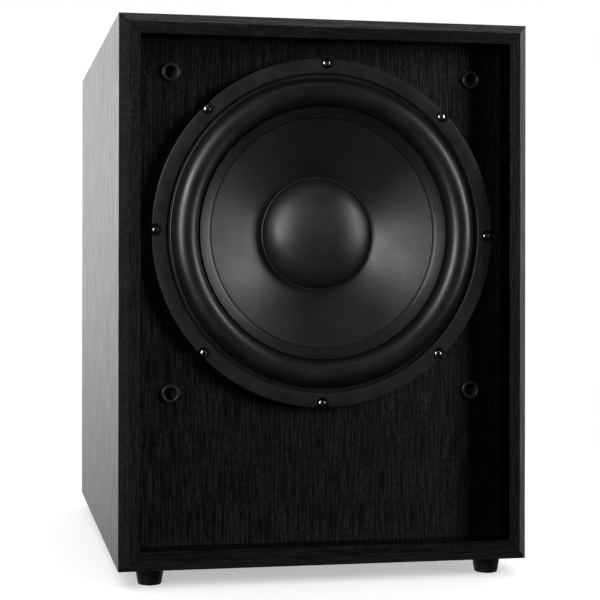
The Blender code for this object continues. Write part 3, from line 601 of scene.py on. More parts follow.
def screws():
    """Pan heads with a cross recess, deeper in the middle."""
    for index, (node, centre) in enumerate(screw_places()):
        low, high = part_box(node)
        head = (high.x - low.x) / 2
        base = baffle_low.y - high.y
        top = baffle_low.y - low.y
        outline = [(0, top)] + arc((0, top - head * 1.6), head * 1.6, 90, 62, 5)[1:]
        outline += arc((head - 0.8 * MM, base + 0.8 * MM), 0.8 * MM, 55, 0, 4) + [(head, base), (0, base)]
        place = at((centre.x, baffle_low.y, centre.z)) @ FRONT_TURN
        screw = turned(node + "_head", outline, 40, SCREW_STEEL, place, 50)
        for turn in (0, 1):
            bm = bmesh.new()
            bmesh.ops.create_cube(bm, size=1)
            bmesh.ops.scale(bm, vec=(head * 1.15, 0.85 * MM, 2.2 * MM), verts=bm.verts)
            for vert in bm.verts:
                if vert.co.z < 0:
                    vert.co.x *= 0.3
                    vert.co.y *= 0.5
            spin = Matrix.Rotation(0.5 * math.pi * turn + 0.6 * index, 4, 'Z')
            bm.transform(place @ at((0, 0, top - 0.4 * MM)) @ spin)
            cut_away(screw, from_bmesh(f"{node}_cross_{turn}", bm, SCREW_STEEL))
        screw.data.set_sharp_from_angle(angle=math.radians(40))
        assign(screw, "cabinet", "plated_steel", node)


ROLL_OUTER = 134 * MM
ROLL_INNER = 110 * MM
NECK = 26 * MM
CONE_RISE = 42 * MM
CONE_EDGE_Z = baffle_low.y - cone_low.y
CAP_RADIUS = 50 * MM


def cone_height(radius):
    share = max(ROLL_INNER - radius, 0) / (ROLL_INNER - NECK)
    return CONE_EDGE_Z + 0.25 * MM - CONE_RISE * share ** 1.1


def surround():
    """Half roll with a small shoulder and groove where it meets the cone, and a flat outer lip."""
    foot = 3.6 * MM
    middle, half, rise = (ROLL_OUTER + ROLL_INNER) / 2 + 0.4 * MM, (ROLL_OUTER - ROLL_INNER) / 2 - 0.6 * MM, 11 * MM
    path = [(101 * MM, cone_height(101 * MM) - 1.9 * MM), (ROLL_INNER, CONE_EDGE_Z - 2.0 * MM),
            (ROLL_INNER + 0.7 * MM, CONE_EDGE_Z - 0.6 * MM)]
    steps = 28
    for step in range(steps + 1):
        angle = math.pi * (1 - step / steps)
        path.append((middle + half * math.cos(angle), foot + 0.5 * MM + rise * math.sin(angle) ** 0.92))
    path += arc((ROLL_OUTER + 1.2 * MM, foot + 1.4 * MM), 0.9 * MM, 200, 270, 4)
    path += [(138.1 * MM, foot + 0.5 * MM)]
    roll = turned("surround_roll", shell(path, 0.9 * MM), 256, RUBBER, DRIVER_FRAME, 60)
    crossing(roll, "surround")


def cone():
    steps = 60
    seam = SEAM_RADIUS
    path = []
    for step in range(steps + 1):
        radius = NECK + (ROLL_INNER - 0.6 * MM - NECK) * step / steps
        raised = 0.25 * MM / (1 + math.exp(-(radius - seam) / (0.15 * MM)))
        path.append((radius, cone_height(radius) - 0.3 * MM + raised))
    piece = turned("cone_paper", shell(path, 1.1 * MM), 256, CONE, DRIVER_FRAME, 60)
    assign(piece, "cone_assembly", "cone_paper", "paper_cone")


def dust_cap():
    """Shallow dome with a thin raised lip where it is glued to the cone."""
    rim = cone_height(CAP_RADIUS) + 0.4 * MM
    rise = 21 * MM
    base = CAP_RADIUS - 2 * MM
    path = [(0, rim + rise)]
    steps = 28
    for step in range(1, steps + 1):
        angle = math.pi / 2 * (1 - step / steps)
        path.append((base * math.cos(angle), rim + rise * math.sin(angle) ** 0.92))
    path += arc((CAP_RADIUS - 0.4 * MM, rim + 0.1 * MM), 0.8 * MM, 150, 0, 6)
    piece = turned("dust_cap_dome", shell_inward(path, 0.8 * MM), 192, CAP, DRIVER_FRAME, 60)
    assign(piece, "cone_assembly", "cap_paper", "dust_cap")


def driver_span(node):
    """A driver piece's outer radius, and the heights of its rear and front faces above the baffle."""
    low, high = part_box(node)
    return (high.x - low.x) / 2, baffle_low.y - high.y, baffle_low.y - low.y


def basket():
    """Pressed steel basket: rolled corners, six windows, and ribs along the spokes."""
    wall = 1.8 * MM
    radius, back, front = driver_span("driver_basket")
    rim, ledge, pot, shelf = 135 * MM, 68 * MM, 58 * MM, -62 * MM
    flange = front - 1 * MM
    corners = [(radius - 0.1 * MM, flange), (rim, flange), (rim, -7 * MM), (ledge, shelf), (pot, shelf),
               (pot, back + 1 * MM), (34 * MM, back + 1 * MM)]
    front_side = offset(rounded(corners, 2.5 * MM), wall / 2)
    # An unturned mesh gave different cuts from run to run, for a reason that was not established.
    piece = turned("basket_frame", shell(front_side, wall), 144, POWDER,
                   DRIVER_FRAME @ Matrix.Rotation(math.radians(0.7), 4, 'Z'), 40)
    inner, outer, half = 73 * MM, 124 * MM, math.radians(21)
    spread = [half * (step / 6 - 1) for step in range(13)]
    outline = [(inner * math.cos(a), inner * math.sin(a)) for a in spread]
    outline += [(outer * math.cos(a), outer * math.sin(a)) for a in reversed(spread)]
    windows = bmesh.new()
    for index in range(6):
        spin = DRIVER_FRAME @ Matrix.Rotation(index * math.pi / 3, 4, 'Z')
        bm = bmesh.new()
        low_ring = [bm.verts.new((x, y, -75 * MM)) for x, y in outline]
        face = bm.faces.new(low_ring)
        top = bmesh.ops.extrude_face_region(bm, geom=[face])["geom"]
        bmesh.ops.translate(bm, vec=(0, 0, 70 * MM), verts=[v for v in top if isinstance(v, bmesh.types.BMVert)])
        corners = [edge for edge in bm.edges if abs(edge.verts[0].co.z - edge.verts[1].co.z) > 60 * MM
                   and edge.calc_face_angle() > math.radians(45)]
        # Known fault: the corners come out notched, probably as 7 mm exceeds the segments of the arc.
        bmesh.ops.bevel(bm, geom=corners, offset=7 * MM, segments=5, affect='EDGES')
        bm.transform(spin)
        window = bpy.data.meshes.new("window")
        bm.to_mesh(window)
        bm.free()
        windows.from_mesh(window)
        bpy.data.meshes.remove(window)
    cut_away(piece, from_bmesh("window_cutters", windows, POWDER))
    piece.data.set_sharp_from_angle(angle=math.radians(40))
    assign(piece, "cabinet", "black_steel", "driver_basket")
    bm = bmesh.new()
    for index in range(6):
        angle = (index + 0.5) * math.pi / 3
        ray = Vector((math.cos(angle), math.sin(angle), 0))
        route = [DRIVER_FRAME @ (ray * (r * MM) + Vector((0, 0, z * MM)))
                 for r, z in ((74, -58.6), (90, -45.4), (112, -27), (128, -14))]
        tube(bm, smooth_route(route, 5), 1.9 * MM, 10)
    ribs = from_bmesh("basket_ribs", bm, POWDER, 50)
    assign(ribs, "cabinet", "black_steel")


def magnet_stack():
    """Top plate, ferrite ring and yoke, with ground edges."""
    radius, low, high = driver_span("top_plate")
    bore = 27.4 * MM
    outline = arc((bore + 0.6 * MM, high - 0.6 * MM), 0.6 * MM, 180, 90, 3)
    outline += rim(radius, high, 0.8 * MM)
    outline += heel(radius, low, 0.8 * MM) + [(bore, low)]
    assign(turned("motor_top_plate", outline, 128, PLATED, DRIVER_FRAME, 40), "cabinet", "plated_steel",
               "top_plate")
    radius, low, high = driver_span("ring_magnet")
    bore = 33 * MM
    outline = [(bore, high)] + rim(radius, high, 1.5 * MM, 5)
    outline += heel(radius, low, 1.5 * MM, 5) + [(bore, low)]
    assign(turned("ferrite_ring", outline, 128, FERRITE, DRIVER_FRAME, 40), "cabinet", "ferrite",
               "ring_magnet")
    radius, low, high = driver_span("pole_yoke")
    plate_top, pole, vent = low + 8 * MM, 24.4 * MM, 8 * MM
    outline = [(vent, high)] + rim(pole, high, 1 * MM)
    outline += [(pole, plate_top)] + rim(radius, plate_top, 1 * MM)
    outline += heel(radius, low, 2 * MM, 6)
    outline += arc((vent + 3 * MM, low + 3 * MM), 3 * MM, 270, 180, 6)
    assign(turned("yoke_and_pole", outline, 128, PLATED, DRIVER_FRAME, 40), "cabinet", "plated_steel",
               "pole_yoke")


def coil():
    """Paper former with the winding on its far end, turn beside turn."""
    radius, low, high = driver_span("coil_former")
    bore = 25.05 * MM
    assign(turned("coil_former_tube", [(bore, high), (radius, high), (radius, low), (bore, low)], 96, FORMER,
                      DRIVER_FRAME, 40), "cone_assembly", "former_paper", "coil_former")
    radius, low, high = driver_span("voice_coil")
    wire = 0.7 * MM
    turns = int((high - low) / wire)
    outline = [(radius - 1 * MM, low), (radius - 1 * MM, high)]
    for turn in range(turns):
        middle = high - (turn + 0.5) * (high - low) / turns
        outline += arc((radius - wire / 2, middle), wire / 2, 80, -80, 4)
    assign(turned("voice_coil_winding", outline, 96, COPPER, DRIVER_FRAME, 70),
               "cone_assembly", "copper", "voice_coil")


def spider():
    """Corrugated cloth ring, from the coil at its neck to the basket at its rim."""
    radius, low, high = driver_span("spider")
    neck, pot = 25.8 * MM, 58 * MM
    foot = low + 0.5 * MM
    waves, start = 5, neck + 3 * MM
    path = [(neck, foot + 2.4 * MM), (neck + 1.5 * MM, foot + 2.4 * MM)]
    count = waves * 12
    for step in range(count + 1):
        share = step / count
        path.append((start + (pot - 1 * MM - start) * share,
                     foot + 2.3 * MM + 1.9 * MM * math.sin(2 * math.pi * waves * share)))
    path += [(pot + 1.2 * MM, foot + 0.8 * MM), (pot + 2.2 * MM, foot), (radius, foot)]
    ring = turned("spider_cloth_ring", shell(path, 0.5 * MM), 128, CLOTH, DRIVER_FRAME, 60)
    crossing(ring, "spider")


def crossing(piece, node):
    """Bakes the piece's placement into its mesh and hides the CAD node that it stands in for."""
    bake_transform(piece)
    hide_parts(node)


def tinsel_leads():
    """Braided leads that loop from the back of the cone to the tags on the terminal board."""
    for side, sign in (("left", 1), ("right", -1)):
        points = [DRIVER_FRAME @ Vector((x * MM, sign * y * MM, z * MM))
                  for x, y, z in ((43, 8, -33.5), (54, 9, -43), (68, 10, -47), (79, 10, -53), (81, 10, -66.4))]
        bm = bmesh.new()
        pitch = 2.4 * MM

        def braid(angle, distance):
            turn = 2 * math.pi * distance / pitch
            return (0.72 + 0.1 * math.cos(3 * angle + turn) + 0.1 * math.cos(3 * angle - turn)) * MM

        tube(bm, smooth_route(points, 40), braid, 18)
        lead = from_bmesh(f"tinsel_braid_{side}", bm, COPPER, 60)
        crossing(lead, f"tinsel_lead_{side}")


def terminals():
    """Fibre board with two riveted tags."""
    paint("terminal_board", FIBRE_BOARD, 0.3 * MM)
    low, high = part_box("terminal_board")
    bm = bmesh.new()
    for z in (-10 * MM, 10 * MM):
        middle = DRIVER.z + z
        tag = at(((low.x + high.x) / 2 + 4 * MM, low.y - 0.5 * MM, middle))
        add_box(bm, (12 * MM, 0.8 * MM, 5 * MM), tag, 0.2 * MM)
    tags = from_bmesh("terminal_tags", bm, PLATED, 40)
    assign(tags, "cabinet", "plated_steel")


def speaker_lead():
    """Red and black conductors side by side, from the amplifier board to the driver's tags."""
    board_low, board_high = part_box("circuit_board")
    amp_z = AMP.z
    points = [Vector((-60 * MM, board_low.y - 1.4 * MM, amp_z + 64 * MM)),
              Vector((-66 * MM, 130 * MM, amp_z + 66 * MM)), Vector((-40 * MM, 70 * MM, amp_z + 40 * MM)),
              Vector((40 * MM, 20 * MM, amp_z + 30 * MM)), Vector((92 * MM, -30 * MM, amp_z + 50 * MM)),
              Vector((96 * MM, -80 * MM, DRIVER.z - 30 * MM)), Vector((83.5 * MM, -112 * MM, DRIVER.z - 6 * MM)),
              Vector((79.5 * MM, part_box("terminal_board")[1].y + 1.8 * MM, DRIVER.z))]
    for colour, material, aside in (("red", CABLE, -1.02 * MM), ("black", MOULDING, 1.02 * MM)):
        bm = bmesh.new()
        tube(bm, smooth_route(points, 16), 1.1 * MM, 14, aside)
        conductor = from_bmesh("speaker_lead_" + colour, bm, material, 60)
        assign(conductor, "cabinet", "cable", "speaker_lead")


# ---- the amplifier: its own +Z points to the rear, its origin is on the outer face of the plate ----
AMP = Vector(((plate_low.x + plate_high.x) / 2, plate_high.y, (plate_low.z + plate_high.z) / 2))
AMP_FRAME = at(AMP) @ REAR_TURN
AMP_INVERSE = AMP_FRAME.inverted()


def amp_box(node):
    """A piece's lowest and highest corners in the amplifier's own frame."""
    corners = [AMP_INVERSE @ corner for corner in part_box(node)]
    return Vector(map(min, *corners)), Vector(map(max, *corners))


def amp_axis(node):
    """A frame on the axis of a round piece of the amplifier."""
    low, high = amp_box(node)
    return AMP_FRAME @ at(((low.x + high.x) / 2, (low.y + high.y) / 2, 0))


def plate_and_marks():
    """Anodised plate with its screws, and a plain printed scale round each knob."""
    paint("amp_plate", ANODISED, 0.5 * MM)
    paint("heat_sink", ANODISED, 0.35 * MM)
    low, high = amp_box("amp_plate")
    inset = 6 * MM
    xs, ys = (low.x + inset, 0, high.x - inset), (low.y + inset, 0, high.y - inset)
    head = 3.2 * MM
    number = 0
    for x in xs:
        for y in ys:
            if x == 0 and y == 0:
                continue
            number += 1
            place = AMP_FRAME @ at((x, y, 0))
            outline = [(0, 1.9 * MM)] + arc((0, 1.9 * MM - 5 * MM), 5 * MM, 88, 56, 4)
            outline += [(head, 0.8 * MM), (head, 0.05 * MM), (0, 0.05 * MM)]
            screw = turned(f"plate_screw_{number}", outline, 32, BLACK_STEEL, place, 40)
            for turn in (0, 1):
                bm = bmesh.new()
                spin = Matrix.Rotation(math.pi / 2 * turn + number, 4, 'Z')
                add_box(bm, (head * 1.1, 0.8 * MM, 2 * MM), place @ at((0, 0, 1.9 * MM)) @ spin)
                cut_away(screw, from_bmesh("plate_screw_cross", bm, BLACK_STEEL))
            assign(screw, "cabinet", "plated_steel")
    bm = bmesh.new()
    for knob in ("volume_knob", "crossover_knob"):
        place = amp_axis(knob)
        for step in range(11):
            angle = math.radians(-150 + 30 * step)
            length = 3 * MM if step % 5 == 0 else 2 * MM
            tick = place @ Matrix.Rotation(-angle, 4, 'Z') @ at((0, 14 * MM + length / 2, 0.05 * MM))
            add_box(bm, (0.6 * MM, length, 0.12 * MM), tick)
    marks = from_bmesh("printed_scales", bm, PRINT)
    assign(marks, "cabinet", "black_aluminium")


def knob(node):
    """Fluted knob with a dished top, a chamfered rim and an inlaid pointer, on its steel shaft."""
    place = amp_axis(node)
    low, high = amp_box(node)
    crest = (high.x - low.x) / 2
    top, bottom = high.z, high.z - 14 * MM
    flutes, segments = 24, 192
    rows = [(crest - 0.5 * MM, bottom, 0.0), (crest, bottom + 0.6 * MM, 0.5), (crest, top - 2.4 * MM, 0.9),
            (crest - 0.4 * MM, top - 1.2 * MM, 0.6), (crest - 1.3 * MM, top - 0.2 * MM, 0.1),
            (crest - 2 * MM, top, 0.0), (crest - 2.6 * MM, top - 0.4 * MM, 0.0), (2 * MM, top - 0.9 * MM, 0.0)]
    bm = bmesh.new()
    rings = []
    for radius, height, depth in rows:
        ring = []
        for step in range(segments):
            angle = 2 * math.pi * step / segments
            flute = 0.5 + 0.5 * math.cos(flutes * angle)
            reach = radius - depth * 0.8 * MM * flute ** 2
            ring.append(bm.verts.new(place @ Vector((reach * math.cos(angle), reach * math.sin(angle), height))))
        rings.append(ring)
    for here, there in zip(rings, rings[1:]):
        for step in range(segments):
            after = (step + 1) % segments
            bm.faces.new((here[step], here[after], there[after], there[step]))
    bm.faces.new(rings[0][::-1])
    bm.faces.new(rings[-1])
    body = from_bmesh(node + "_cap", bm, MOULDING, 40)
    assign(body, node, "moulding", node)
    shaft = turned(node + "_shaft", [(0, low.z), (2.6 * MM, low.z), (3 * MM, low.z + 0.4 * MM),
                                     (3 * MM, bottom + 1 * MM), (0, bottom + 1 * MM)], 48, PLATED, place, 40)
    bm = bmesh.new()
    add_box(bm, (1.2 * MM, 7 * MM, 1 * MM), place @ at((0, crest - 5.4 * MM, top - 0.55 * MM)), 0.2 * MM)
    pointer = from_bmesh(node + "_pointer", bm, PRINT, 40)
    for piece, slot in ((shaft, "plated_steel"), (pointer, "moulding")):
        assign(piece, node, slot)


def potentiometer(node):
    """Pressed can with a rolled edge, and three tags below it."""
    place = amp_axis(node)
    low, high = amp_box(node)
    radius, bore = (high.x - low.x) / 2, 3.6 * MM
    outline = [(bore, high.z), (radius - 1.5 * MM, high.z)] + rim(radius, high.z, 0.8 * MM)
    outline += [(radius - 0.5 * MM, high.z - 2 * MM), (radius, high.z - 2.6 * MM)]
    outline += heel(radius, low.z, 1 * MM)
    outline += [(0, low.z), (0, low.z + 2 * MM), (bore, low.z + 2 * MM)]
    can = turned(node + "_can", outline, 64, PLATED, place, 40)
    assign(can, "cabinet", "plated_steel", node)
    bm = bmesh.new()
    for x in (-4 * MM, 0, 4 * MM):
        add_box(bm, (1.6 * MM, 6 * MM, 0.5 * MM), place @ at((x, -radius - 2.6 * MM, high.z - 1.5 * MM)))
    tags = from_bmesh(node + "_tags", bm, PLATED)
    assign(tags, "cabinet", "plated_steel")


def switch_levers():
    """Slide lever with grip ridges, and a rocker with two shallow dished faces."""
    low, high = amp_box("phase_switch_lever")
    centre = (low + high) / 2
    size = high - low
    bm = bmesh.new()
    place = AMP_FRAME @ at(centre)
    add_box(bm, (size.x, size.y, size.z - 0.8 * MM), place @ at((0, 0, -0.4 * MM)), 0.3 * MM)
    for ridge in range(4):
        x = (ridge - 1.5) * 1 * MM
        add_box(bm, (0.5 * MM, size.y - 0.6 * MM, 1 * MM), place @ at((x, 0, size.z / 2 - 0.5 * MM)), 0.15 * MM)
    assign(from_bmesh("phase_lever_ridged", bm, MOULDING, 40), "phase_switch_lever", "plated_steel",
               "phase_switch_lever")
    paint("power_rocker", MOULDING, 0.5 * MM)
    paint("power_rocker_frame", MOULDING, 0.5 * MM)
    paint("phase_switch_body", MOULDING, 0.25 * MM)


def rear_sockets():
    """Metal blades in the mains inlet, a slotted fuse cap, and metal sleeves round coloured phono rings."""
    paint("mains_inlet", MOULDING, 0.35 * MM)
    paint("line_input_block", MOULDING, 0.3 * MM)
    low, high = amp_box("mains_inlet")
    centre = (low + high) / 2
    bm = bmesh.new()
    for x, y in ((-7 * MM, 0), (0, 4 * MM), (7 * MM, 0)):
        add_box(bm, (2.2 * MM, 4.2 * MM, 10 * MM), AMP_FRAME @ at((centre.x + x, centre.y + y, -7.9 * MM)), 0.4 * MM)
    blades = from_bmesh("mains_blades", bm, PLATED, 40)
    assign(blades, "cabinet", "plated_steel")

    low, high = amp_box("fuse_holder")
    place = amp_axis("fuse_holder")
    cap, flange, barrel = 6 * MM, 8 * MM, 5.8 * MM
    outline = [(0, high.z)] + rim(cap, high.z, 1 * MM, 5) + [(cap, 3 * MM)]
    outline += [(cap + 0.4 * MM, 2.5 * MM)] + arc((flange - 0.6 * MM, 1.8 * MM), 0.6 * MM, 90, 0, 4)
    outline += [(flange, 0.3 * MM), (barrel, 0.3 * MM), (barrel, low.z), (0, low.z)]
    holder = turned("fuse_holder_cap", outline, 64, MOULDING, place, 40)
    bm = bmesh.new()
    add_box(bm, (9 * MM, 1.4 * MM, 2.4 * MM), place @ at((0, 0, high.z)))
    cut_away(holder, from_bmesh("fuse_slot", bm, MOULDING))
    assign(holder, "cabinet", "moulding", "fuse_holder")

    low, high = amp_box("line_input_block")
    centre = (low + high) / 2
    for side, x, colour in (("left", 10 * MM, WHITE_RING), ("right", -10 * MM, RED_RING)):
        place = AMP_FRAME @ at((centre.x + x, centre.y, 0))
        outline = [(2.9 * MM, high.z - 0.4 * MM), (3.3 * MM, high.z)]
        outline += arc((3.7 * MM, high.z - 0.55 * MM), 0.5 * MM, 80, 0, 3)
        outline += [(4.2 * MM, 2.6 * MM), (4.9 * MM, 2.5 * MM), (4.9 * MM, 2.1 * MM), (2.9 * MM, 2.1 * MM)]
        sleeve = turned(f"phono_sleeve_{side}", outline, 64, PLATED, place, 40)
        shoulder = high.z - 0.1 * MM
        section = [(1.5 * MM, high.z - 0.28 * MM), (1.7 * MM, shoulder), (3.0 * MM, shoulder), (3.0 * MM, 2.1 * MM),
                   (1.5 * MM, 2.1 * MM)]
        insulator = turned(f"phono_ring_{side}", section, 48, colour, place, 40)
        for piece, slot in ((sleeve, "plated_steel"), (insulator, "moulding")):
            assign(piece, "cabinet", slot)


def electronics():
    """Circuit board with its small parts, two reservoir capacitors and the wound transformer."""
    paint("circuit_board", FIBREGLASS)
    low, high = amp_box("circuit_board")
    batches = {"resistors": (CERAMIC, bmesh.new()), "chips": (MOULDING, bmesh.new()),
               "coils": (COPPER, bmesh.new()), "connectors": (PRINT, bmesh.new())}
    under = low.z
    for row in range(6):
        for column in range(7):
            x = low.x + 14 * MM + column * 12 * MM
            y = low.y + 10 * MM + row * 14 * MM
            place = AMP_FRAME @ at((x, y, under - 1.6 * MM))
            kind = (row * 3 + column) % 5
            if kind in (0, 3):
                ends = [place @ Vector((side * 3.4 * MM, 0, 0)) for side in (-1, -0.5, 0.5, 1)]
                tube(batches["resistors"][1], smooth_route(ends, 4), 1.1 * MM, 12)
            elif kind == 1:
                add_box(batches["chips"][1], (7 * MM, 6 * MM, 3 * MM), place, 0.3 * MM)
            elif kind == 2:
                ends = [place @ Vector((0, 0, z)) for z in (1.2 * MM, 0, -3 * MM, -5 * MM)]
                tube(batches["coils"][1], smooth_route(ends, 8), 2.4 * MM, 20)
            else:
                add_box(batches["connectors"][1], (5 * MM, 7 * MM, 4 * MM), place, 0.4 * MM)
    for name, (material, bm) in batches.items():
        piece = from_bmesh("board_" + name, bm, material, 40)
        assign(piece, "cabinet", "circuit_board")
    for node in ("capacitor_1", "capacitor_2"):
        place = amp_axis(node)
        low, high = amp_box(node)
        radius = (high.x - low.x) / 2
        outline = [(0, high.z)] + rim(radius, high.z, 1.2 * MM)
        outline += [(radius, high.z - 2.6 * MM), (radius - 0.8 * MM, high.z - 3.4 * MM), (radius, high.z - 4.2 * MM)]
        outline += heel(radius, low.z, 1.2 * MM)
        outline += [(radius - 3 * MM, low.z), (radius - 3.4 * MM, low.z + 0.5 * MM), (0, low.z + 0.5 * MM)]
        assign(turned(node + "_can", outline, 64, SLEEVE, place, 40), "cabinet", "capacitor_sleeve", node)
    low, high = amp_box("transformer")
    core, hub, tall = (high.x - low.x) / 2, 14 * MM, high.z - low.z
    half_wide, half_tall = (core - hub) / 2 - 0.4 * MM, tall / 2 - 0.4 * MM
    middle = (core + hub) / 2
    place = amp_axis("transformer")
    bm = bmesh.new()
    rings, turns, around = [], 240, 20
    for step in range(turns):
        angle = 2 * math.pi * step / turns
        bulge = 0.35 * MM * (step % 2)
        ring = []
        for index in range(around):
            turn = 2 * math.pi * index / around
            across = math.copysign(abs(math.cos(turn)) ** 0.5, math.cos(turn)) * (half_wide + bulge)
            upward = math.copysign(abs(math.sin(turn)) ** 0.5, math.sin(turn)) * (half_tall + bulge)
            reach = middle + across
            ring.append(bm.verts.new(place @ Vector((reach * math.cos(angle), reach * math.sin(angle),
                                                     (low.z + high.z) / 2 + upward))))
        rings.append(ring)
    for step, here in enumerate(rings):
        there = rings[(step + 1) % turns]
        for index in range(around):
            after = (index + 1) % around
            bm.faces.new((here[index], there[index], there[after], here[after]))
    assign(from_bmesh("toroid_winding", bm, WINDING, 30), "cabinet", "winding", "transformer")
    dish = ((0, 1.2), (5, 1.2), (5, 3.2), (22, 0.6), (22, 1.6), (13, 4), (4, 5))
    outline = [(radius * MM, low.z + height * MM) for radius, height in dish]
    outline += [(4 * MM, high.z - 1 * MM), (0, high.z - 1 * MM)]
    clamp = turned("toroid_clamp", outline, 64, PLATED, place, 40)
    assign(clamp, "cabinet", "plated_steel")


def port():
    """Flared port tube with round lips at both ends."""
    low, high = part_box("port_tube")
    centre = Vector(((low.x + high.x) / 2, 0, (low.z + high.z) / 2))
    panel_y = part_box("rear_panel")[1].y
    place = at((centre.x, panel_y, centre.z)) @ REAR_TURN
    flare, lip, back = (high.x - low.x) / 2, high.y - panel_y, low.y - panel_y
    bore, wall = 33 * MM, 3 * MM
    throat = 14 * MM
    outline = [(bore, -throat)]
    steps = 12
    for step in range(1, steps + 1):
        turn = math.pi / 2 * step / steps
        reach = bore + (flare - bore - 2 * MM) * (1 - math.cos(turn))
        outline.append((reach, -throat + (lip + throat) * math.sin(turn)))
    outline += rim(flare, lip, 0.9 * MM) + [(flare, 0.3 * MM), (bore + wall, 0.3 * MM)]
    outline += [(bore + wall, back + 1 * MM)] + arc((bore + wall / 2, back + wall / 2), wall / 2, 0, -180, 8)
    assign(turned("flared_port", outline, 128, MOULDING, place, 40), "cabinet", "moulding", "port_tube")


def wadding():
    """Stapled polyester pads: swollen by a cloth simulation, then dimpled where the staples hold them."""
    for index, side in enumerate(("left", "right")):
        node = "wadding_" + side
        low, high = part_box(node)
        centre, size = (low + high) / 2, high - low
        slack = Vector((4 * MM, 4 * MM, 4 * MM))
        bm = bmesh.new()
        add_box(bm, size - 2 * slack, at(centre), 4 * MM)
        pad = from_bmesh(f"wadding_pad_{side}", bm, WADDING)
        remesh = pad.modifiers.new("remesh", 'REMESH')
        remesh.mode = 'VOXEL'
        remesh.voxel_size = 6 * MM
        bake_modifier(pad, remesh)
        swell(pad, 3.6 * MM)
        staples = [(y, z) for y in (-50 * MM, 50 * MM) for z in (-120 * MM, -40 * MM, 40 * MM, 120 * MM)]
        inward = 1 if side == "left" else -1
        for vert in pad.data.vertices:
            offset_y, offset_z = vert.co.y - centre.y, vert.co.z - centre.z
            depth = sum(math.exp(-((offset_y - y) ** 2 + (offset_z - z) ** 2) / (16 * MM) ** 2) for y, z in staples)
            lumps = math.sin(offset_y * 90 + index) * math.sin(offset_z * 70 + 2 * index)
            if (vert.co.x - centre.x) * inward > 0:
                vert.co.x -= inward * (9 * MM * min(depth, 1) + 1.2 * MM * (1 + lumps))
        smooth = pad.modifiers.new("smooth", 'SUBSURF')
        smooth.levels = smooth.render_levels = 1
        pad.data.shade_smooth()
        assign(pad, "cabinet", "wadding", node)


def swell(pad, most):
    """Blows the pad up as cloth, without gravity, and caps how far each point may move."""
    rest = [vert.co.copy() for vert in pad.data.vertices]
    cloth = pad.modifiers.new("cloth", 'CLOTH')
    cloth.settings.use_pressure = True
    cloth.settings.uniform_pressure_force = 4
    cloth.settings.effector_weights.gravity = 0
    for number in range(1, 13):
        bpy.context.scene.frame_set(number)
    swollen = pad.evaluated_get(bpy.context.evaluated_depsgraph_get()).data
    moved = [vert.co.copy() for vert in swollen.vertices]
    pad.modifiers.remove(cloth)
    for vert, start, end in zip(pad.data.vertices, rest, moved):
        step = end - start
        vert.co = start + step * min(1, most / max(step.length, 1e-9))
    bpy.context.scene.frame_set(1)


# ---- stage ----
def camera():
    """The camera stands to the left of the box at the height of its driver, and looks slightly to the right."""
    data = bpy.data.cameras.new("camera")
    data.sensor_width = 36
    data.lens = 84.0
    data.shift_x, data.shift_y = 0.12, -0.05
    obj = bpy.data.objects.new("camera", data)
    bpy.context.scene.collection.objects.link(obj)
    stand = (-0.2928, -1.394, 0.2668)
    yaw, pitch, roll = 0.1739, 0.0013, 0.0017
    forward = Vector((math.sin(yaw) * math.cos(pitch), math.cos(yaw) * math.cos(pitch), math.sin(pitch)))
    turn = forward.to_track_quat('-Z', 'Y').to_matrix().to_4x4()
    obj.matrix_world = at(stand) @ turn @ Matrix.Rotation(roll, 4, 'Z')
    bpy.context.scene.camera = obj


def floor():
    """A pale floor round the box, bright enough to run into the white background and faded out at its rim."""
    nodes = Nodes("pale_floor")
    cloud = nodes.noise(3.0, detail=2.0)
    reach = nodes.add("ShaderNodeVectorMath", operation='LENGTH')
    nodes.join(nodes.place, reach.inputs[0])
    fade_from, fade_to, opacity = 0.4, 0.85, 0.55
    nodes.join(nodes.spread(reach.outputs["Value"], fade_from, fade_to, opacity, 0.0), nodes.shader.inputs["Alpha"])
    material = nodes.finish(nodes.mix(cloud, (0.88, 0.88, 0.88), (0.9, 0.9, 0.9)), 0.6, specular=0.1)
    bm = bmesh.new()
    bmesh.ops.create_grid(bm, x_segments=4, y_segments=4, size=1)
    piece = from_bmesh("studio_floor", bm, material)
    piece.location.z = cad_low.z - 0.0002
    piece.visible_glossy = False
    piece.visible_diffuse = False
    return piece


ROOM_FRONT = 0.02
ROOM_BACK = 1.8


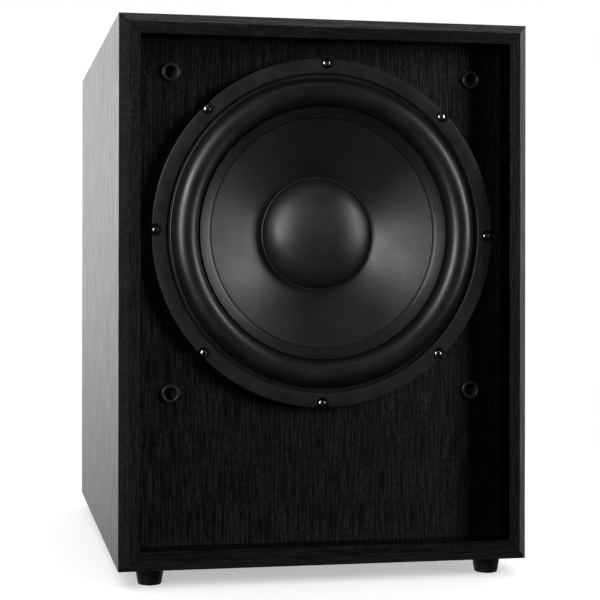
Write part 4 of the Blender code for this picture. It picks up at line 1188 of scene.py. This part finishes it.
def world():
    """White where the camera looks; for the object, a dim room with a bright wall behind it."""
    made = bpy.data.worlds.new("studio")
    bpy.context.scene.world = made
    made.use_nodes = True
    tree = made.node_tree
    background = tree.nodes["Background"]
    background.inputs["Color"].default_value = (1, 1, 1, 1)
    direction = tree.nodes.new("ShaderNodeTexCoord")
    split = tree.nodes.new("ShaderNodeSeparateXYZ")
    tree.links.new(direction.outputs["Generated"], split.inputs[0])
    levels = []
    for axis, numbers in (("Y", (-0.1, 0.8, ROOM_FRONT, ROOM_BACK)), ("Z", (-0.35, 0.12, 0.15, 1.0))):
        level = tree.nodes.new("ShaderNodeMapRange")
        level.interpolation_type = 'SMOOTHSTEP'
        tree.links.new(split.outputs[axis], level.inputs["Value"])
        for key, number in zip(("From Min", "From Max", "To Min", "To Max"), numbers):
            level.inputs[key].default_value = number
        levels.append(level.outputs[0])
    both = tree.nodes.new("ShaderNodeMath")
    both.operation = 'MULTIPLY'
    tree.links.new(levels[0], both.inputs[0])
    tree.links.new(levels[1], both.inputs[1])
    seen = tree.nodes.new("ShaderNodeLightPath")
    choose = tree.nodes.new("ShaderNodeMix")
    tree.links.new(seen.outputs["Is Camera Ray"], choose.inputs[0])
    tree.links.new(both.outputs[0], choose.inputs[2])
    choose.inputs[3].default_value = 1.0
    tree.links.new(choose.outputs[0], background.inputs["Strength"])


def softbox(name, direction, distance, size, radiance, target=(0.0, -0.2, 0.28)):
    """A rectangular light that faces the target; its power follows from its size and its radiance."""
    data = bpy.data.lights.new(name, 'AREA')
    data.shape = 'RECTANGLE'
    data.size, data.size_y = size
    data.energy = radiance * math.pi * size[0] * size[1]
    obj = bpy.data.objects.new(name, data)
    bpy.context.scene.collection.objects.link(obj)
    away = Vector(direction).normalized()
    obj.location = Vector(target) + away * distance
    obj.rotation_euler = away.to_track_quat('Z', 'Y').to_euler()
    obj.visible_camera = False
    return obj


def lights(floor_piece):
    """Two tall side lights and a faint top light; a flag keeps the left light off the baffle."""
    left = softbox("left_softbox", (-0.67, -0.74, 0.24), 1.6, (0.55, 0.9), 12.5)
    flagged = bpy.data.collections.new("flagged_off_the_left_light")
    flagged.objects.link(frame["nodes"]["front_baffle"])
    flagged.collection_objects[0].light_linking.link_state = 'EXCLUDE'
    left.light_linking.receiver_collection = flagged
    softbox("right_softbox", (0.88, -0.45, 0.22), 1.6, (0.5, 1.0), 7.6)
    softbox("top_softbox", (0.0, -0.35, 1.0), 1.8, (1.2, 0.8), 0.35)
    overhead = softbox("floor_light", (0.0, 0.0, 1.0), 2.5, (5.0, 5.0), 1.6, (0, 0, 0))
    lit = bpy.data.collections.new("lit_by_floor_light")
    lit.objects.link(floor_piece)
    overhead.light_linking.receiver_collection = lit


for build in (cabinet, grille_sockets, feet, gasket, screws, surround, cone, dust_cap, basket, magnet_stack, coil,
              spider, tinsel_leads, terminals, speaker_lead, plate_and_marks):
    build()
for knob_node in ("volume_knob", "crossover_knob"):
    knob(knob_node)
for can_node in ("volume_potentiometer", "crossover_potentiometer"):
    potentiometer(can_node)
for build in (switch_levers, rear_sockets, electronics, port, wadding, world):
    build()
lights(floor())
camera()
bpy.context.scene.view_settings.view_transform = 'Standard'
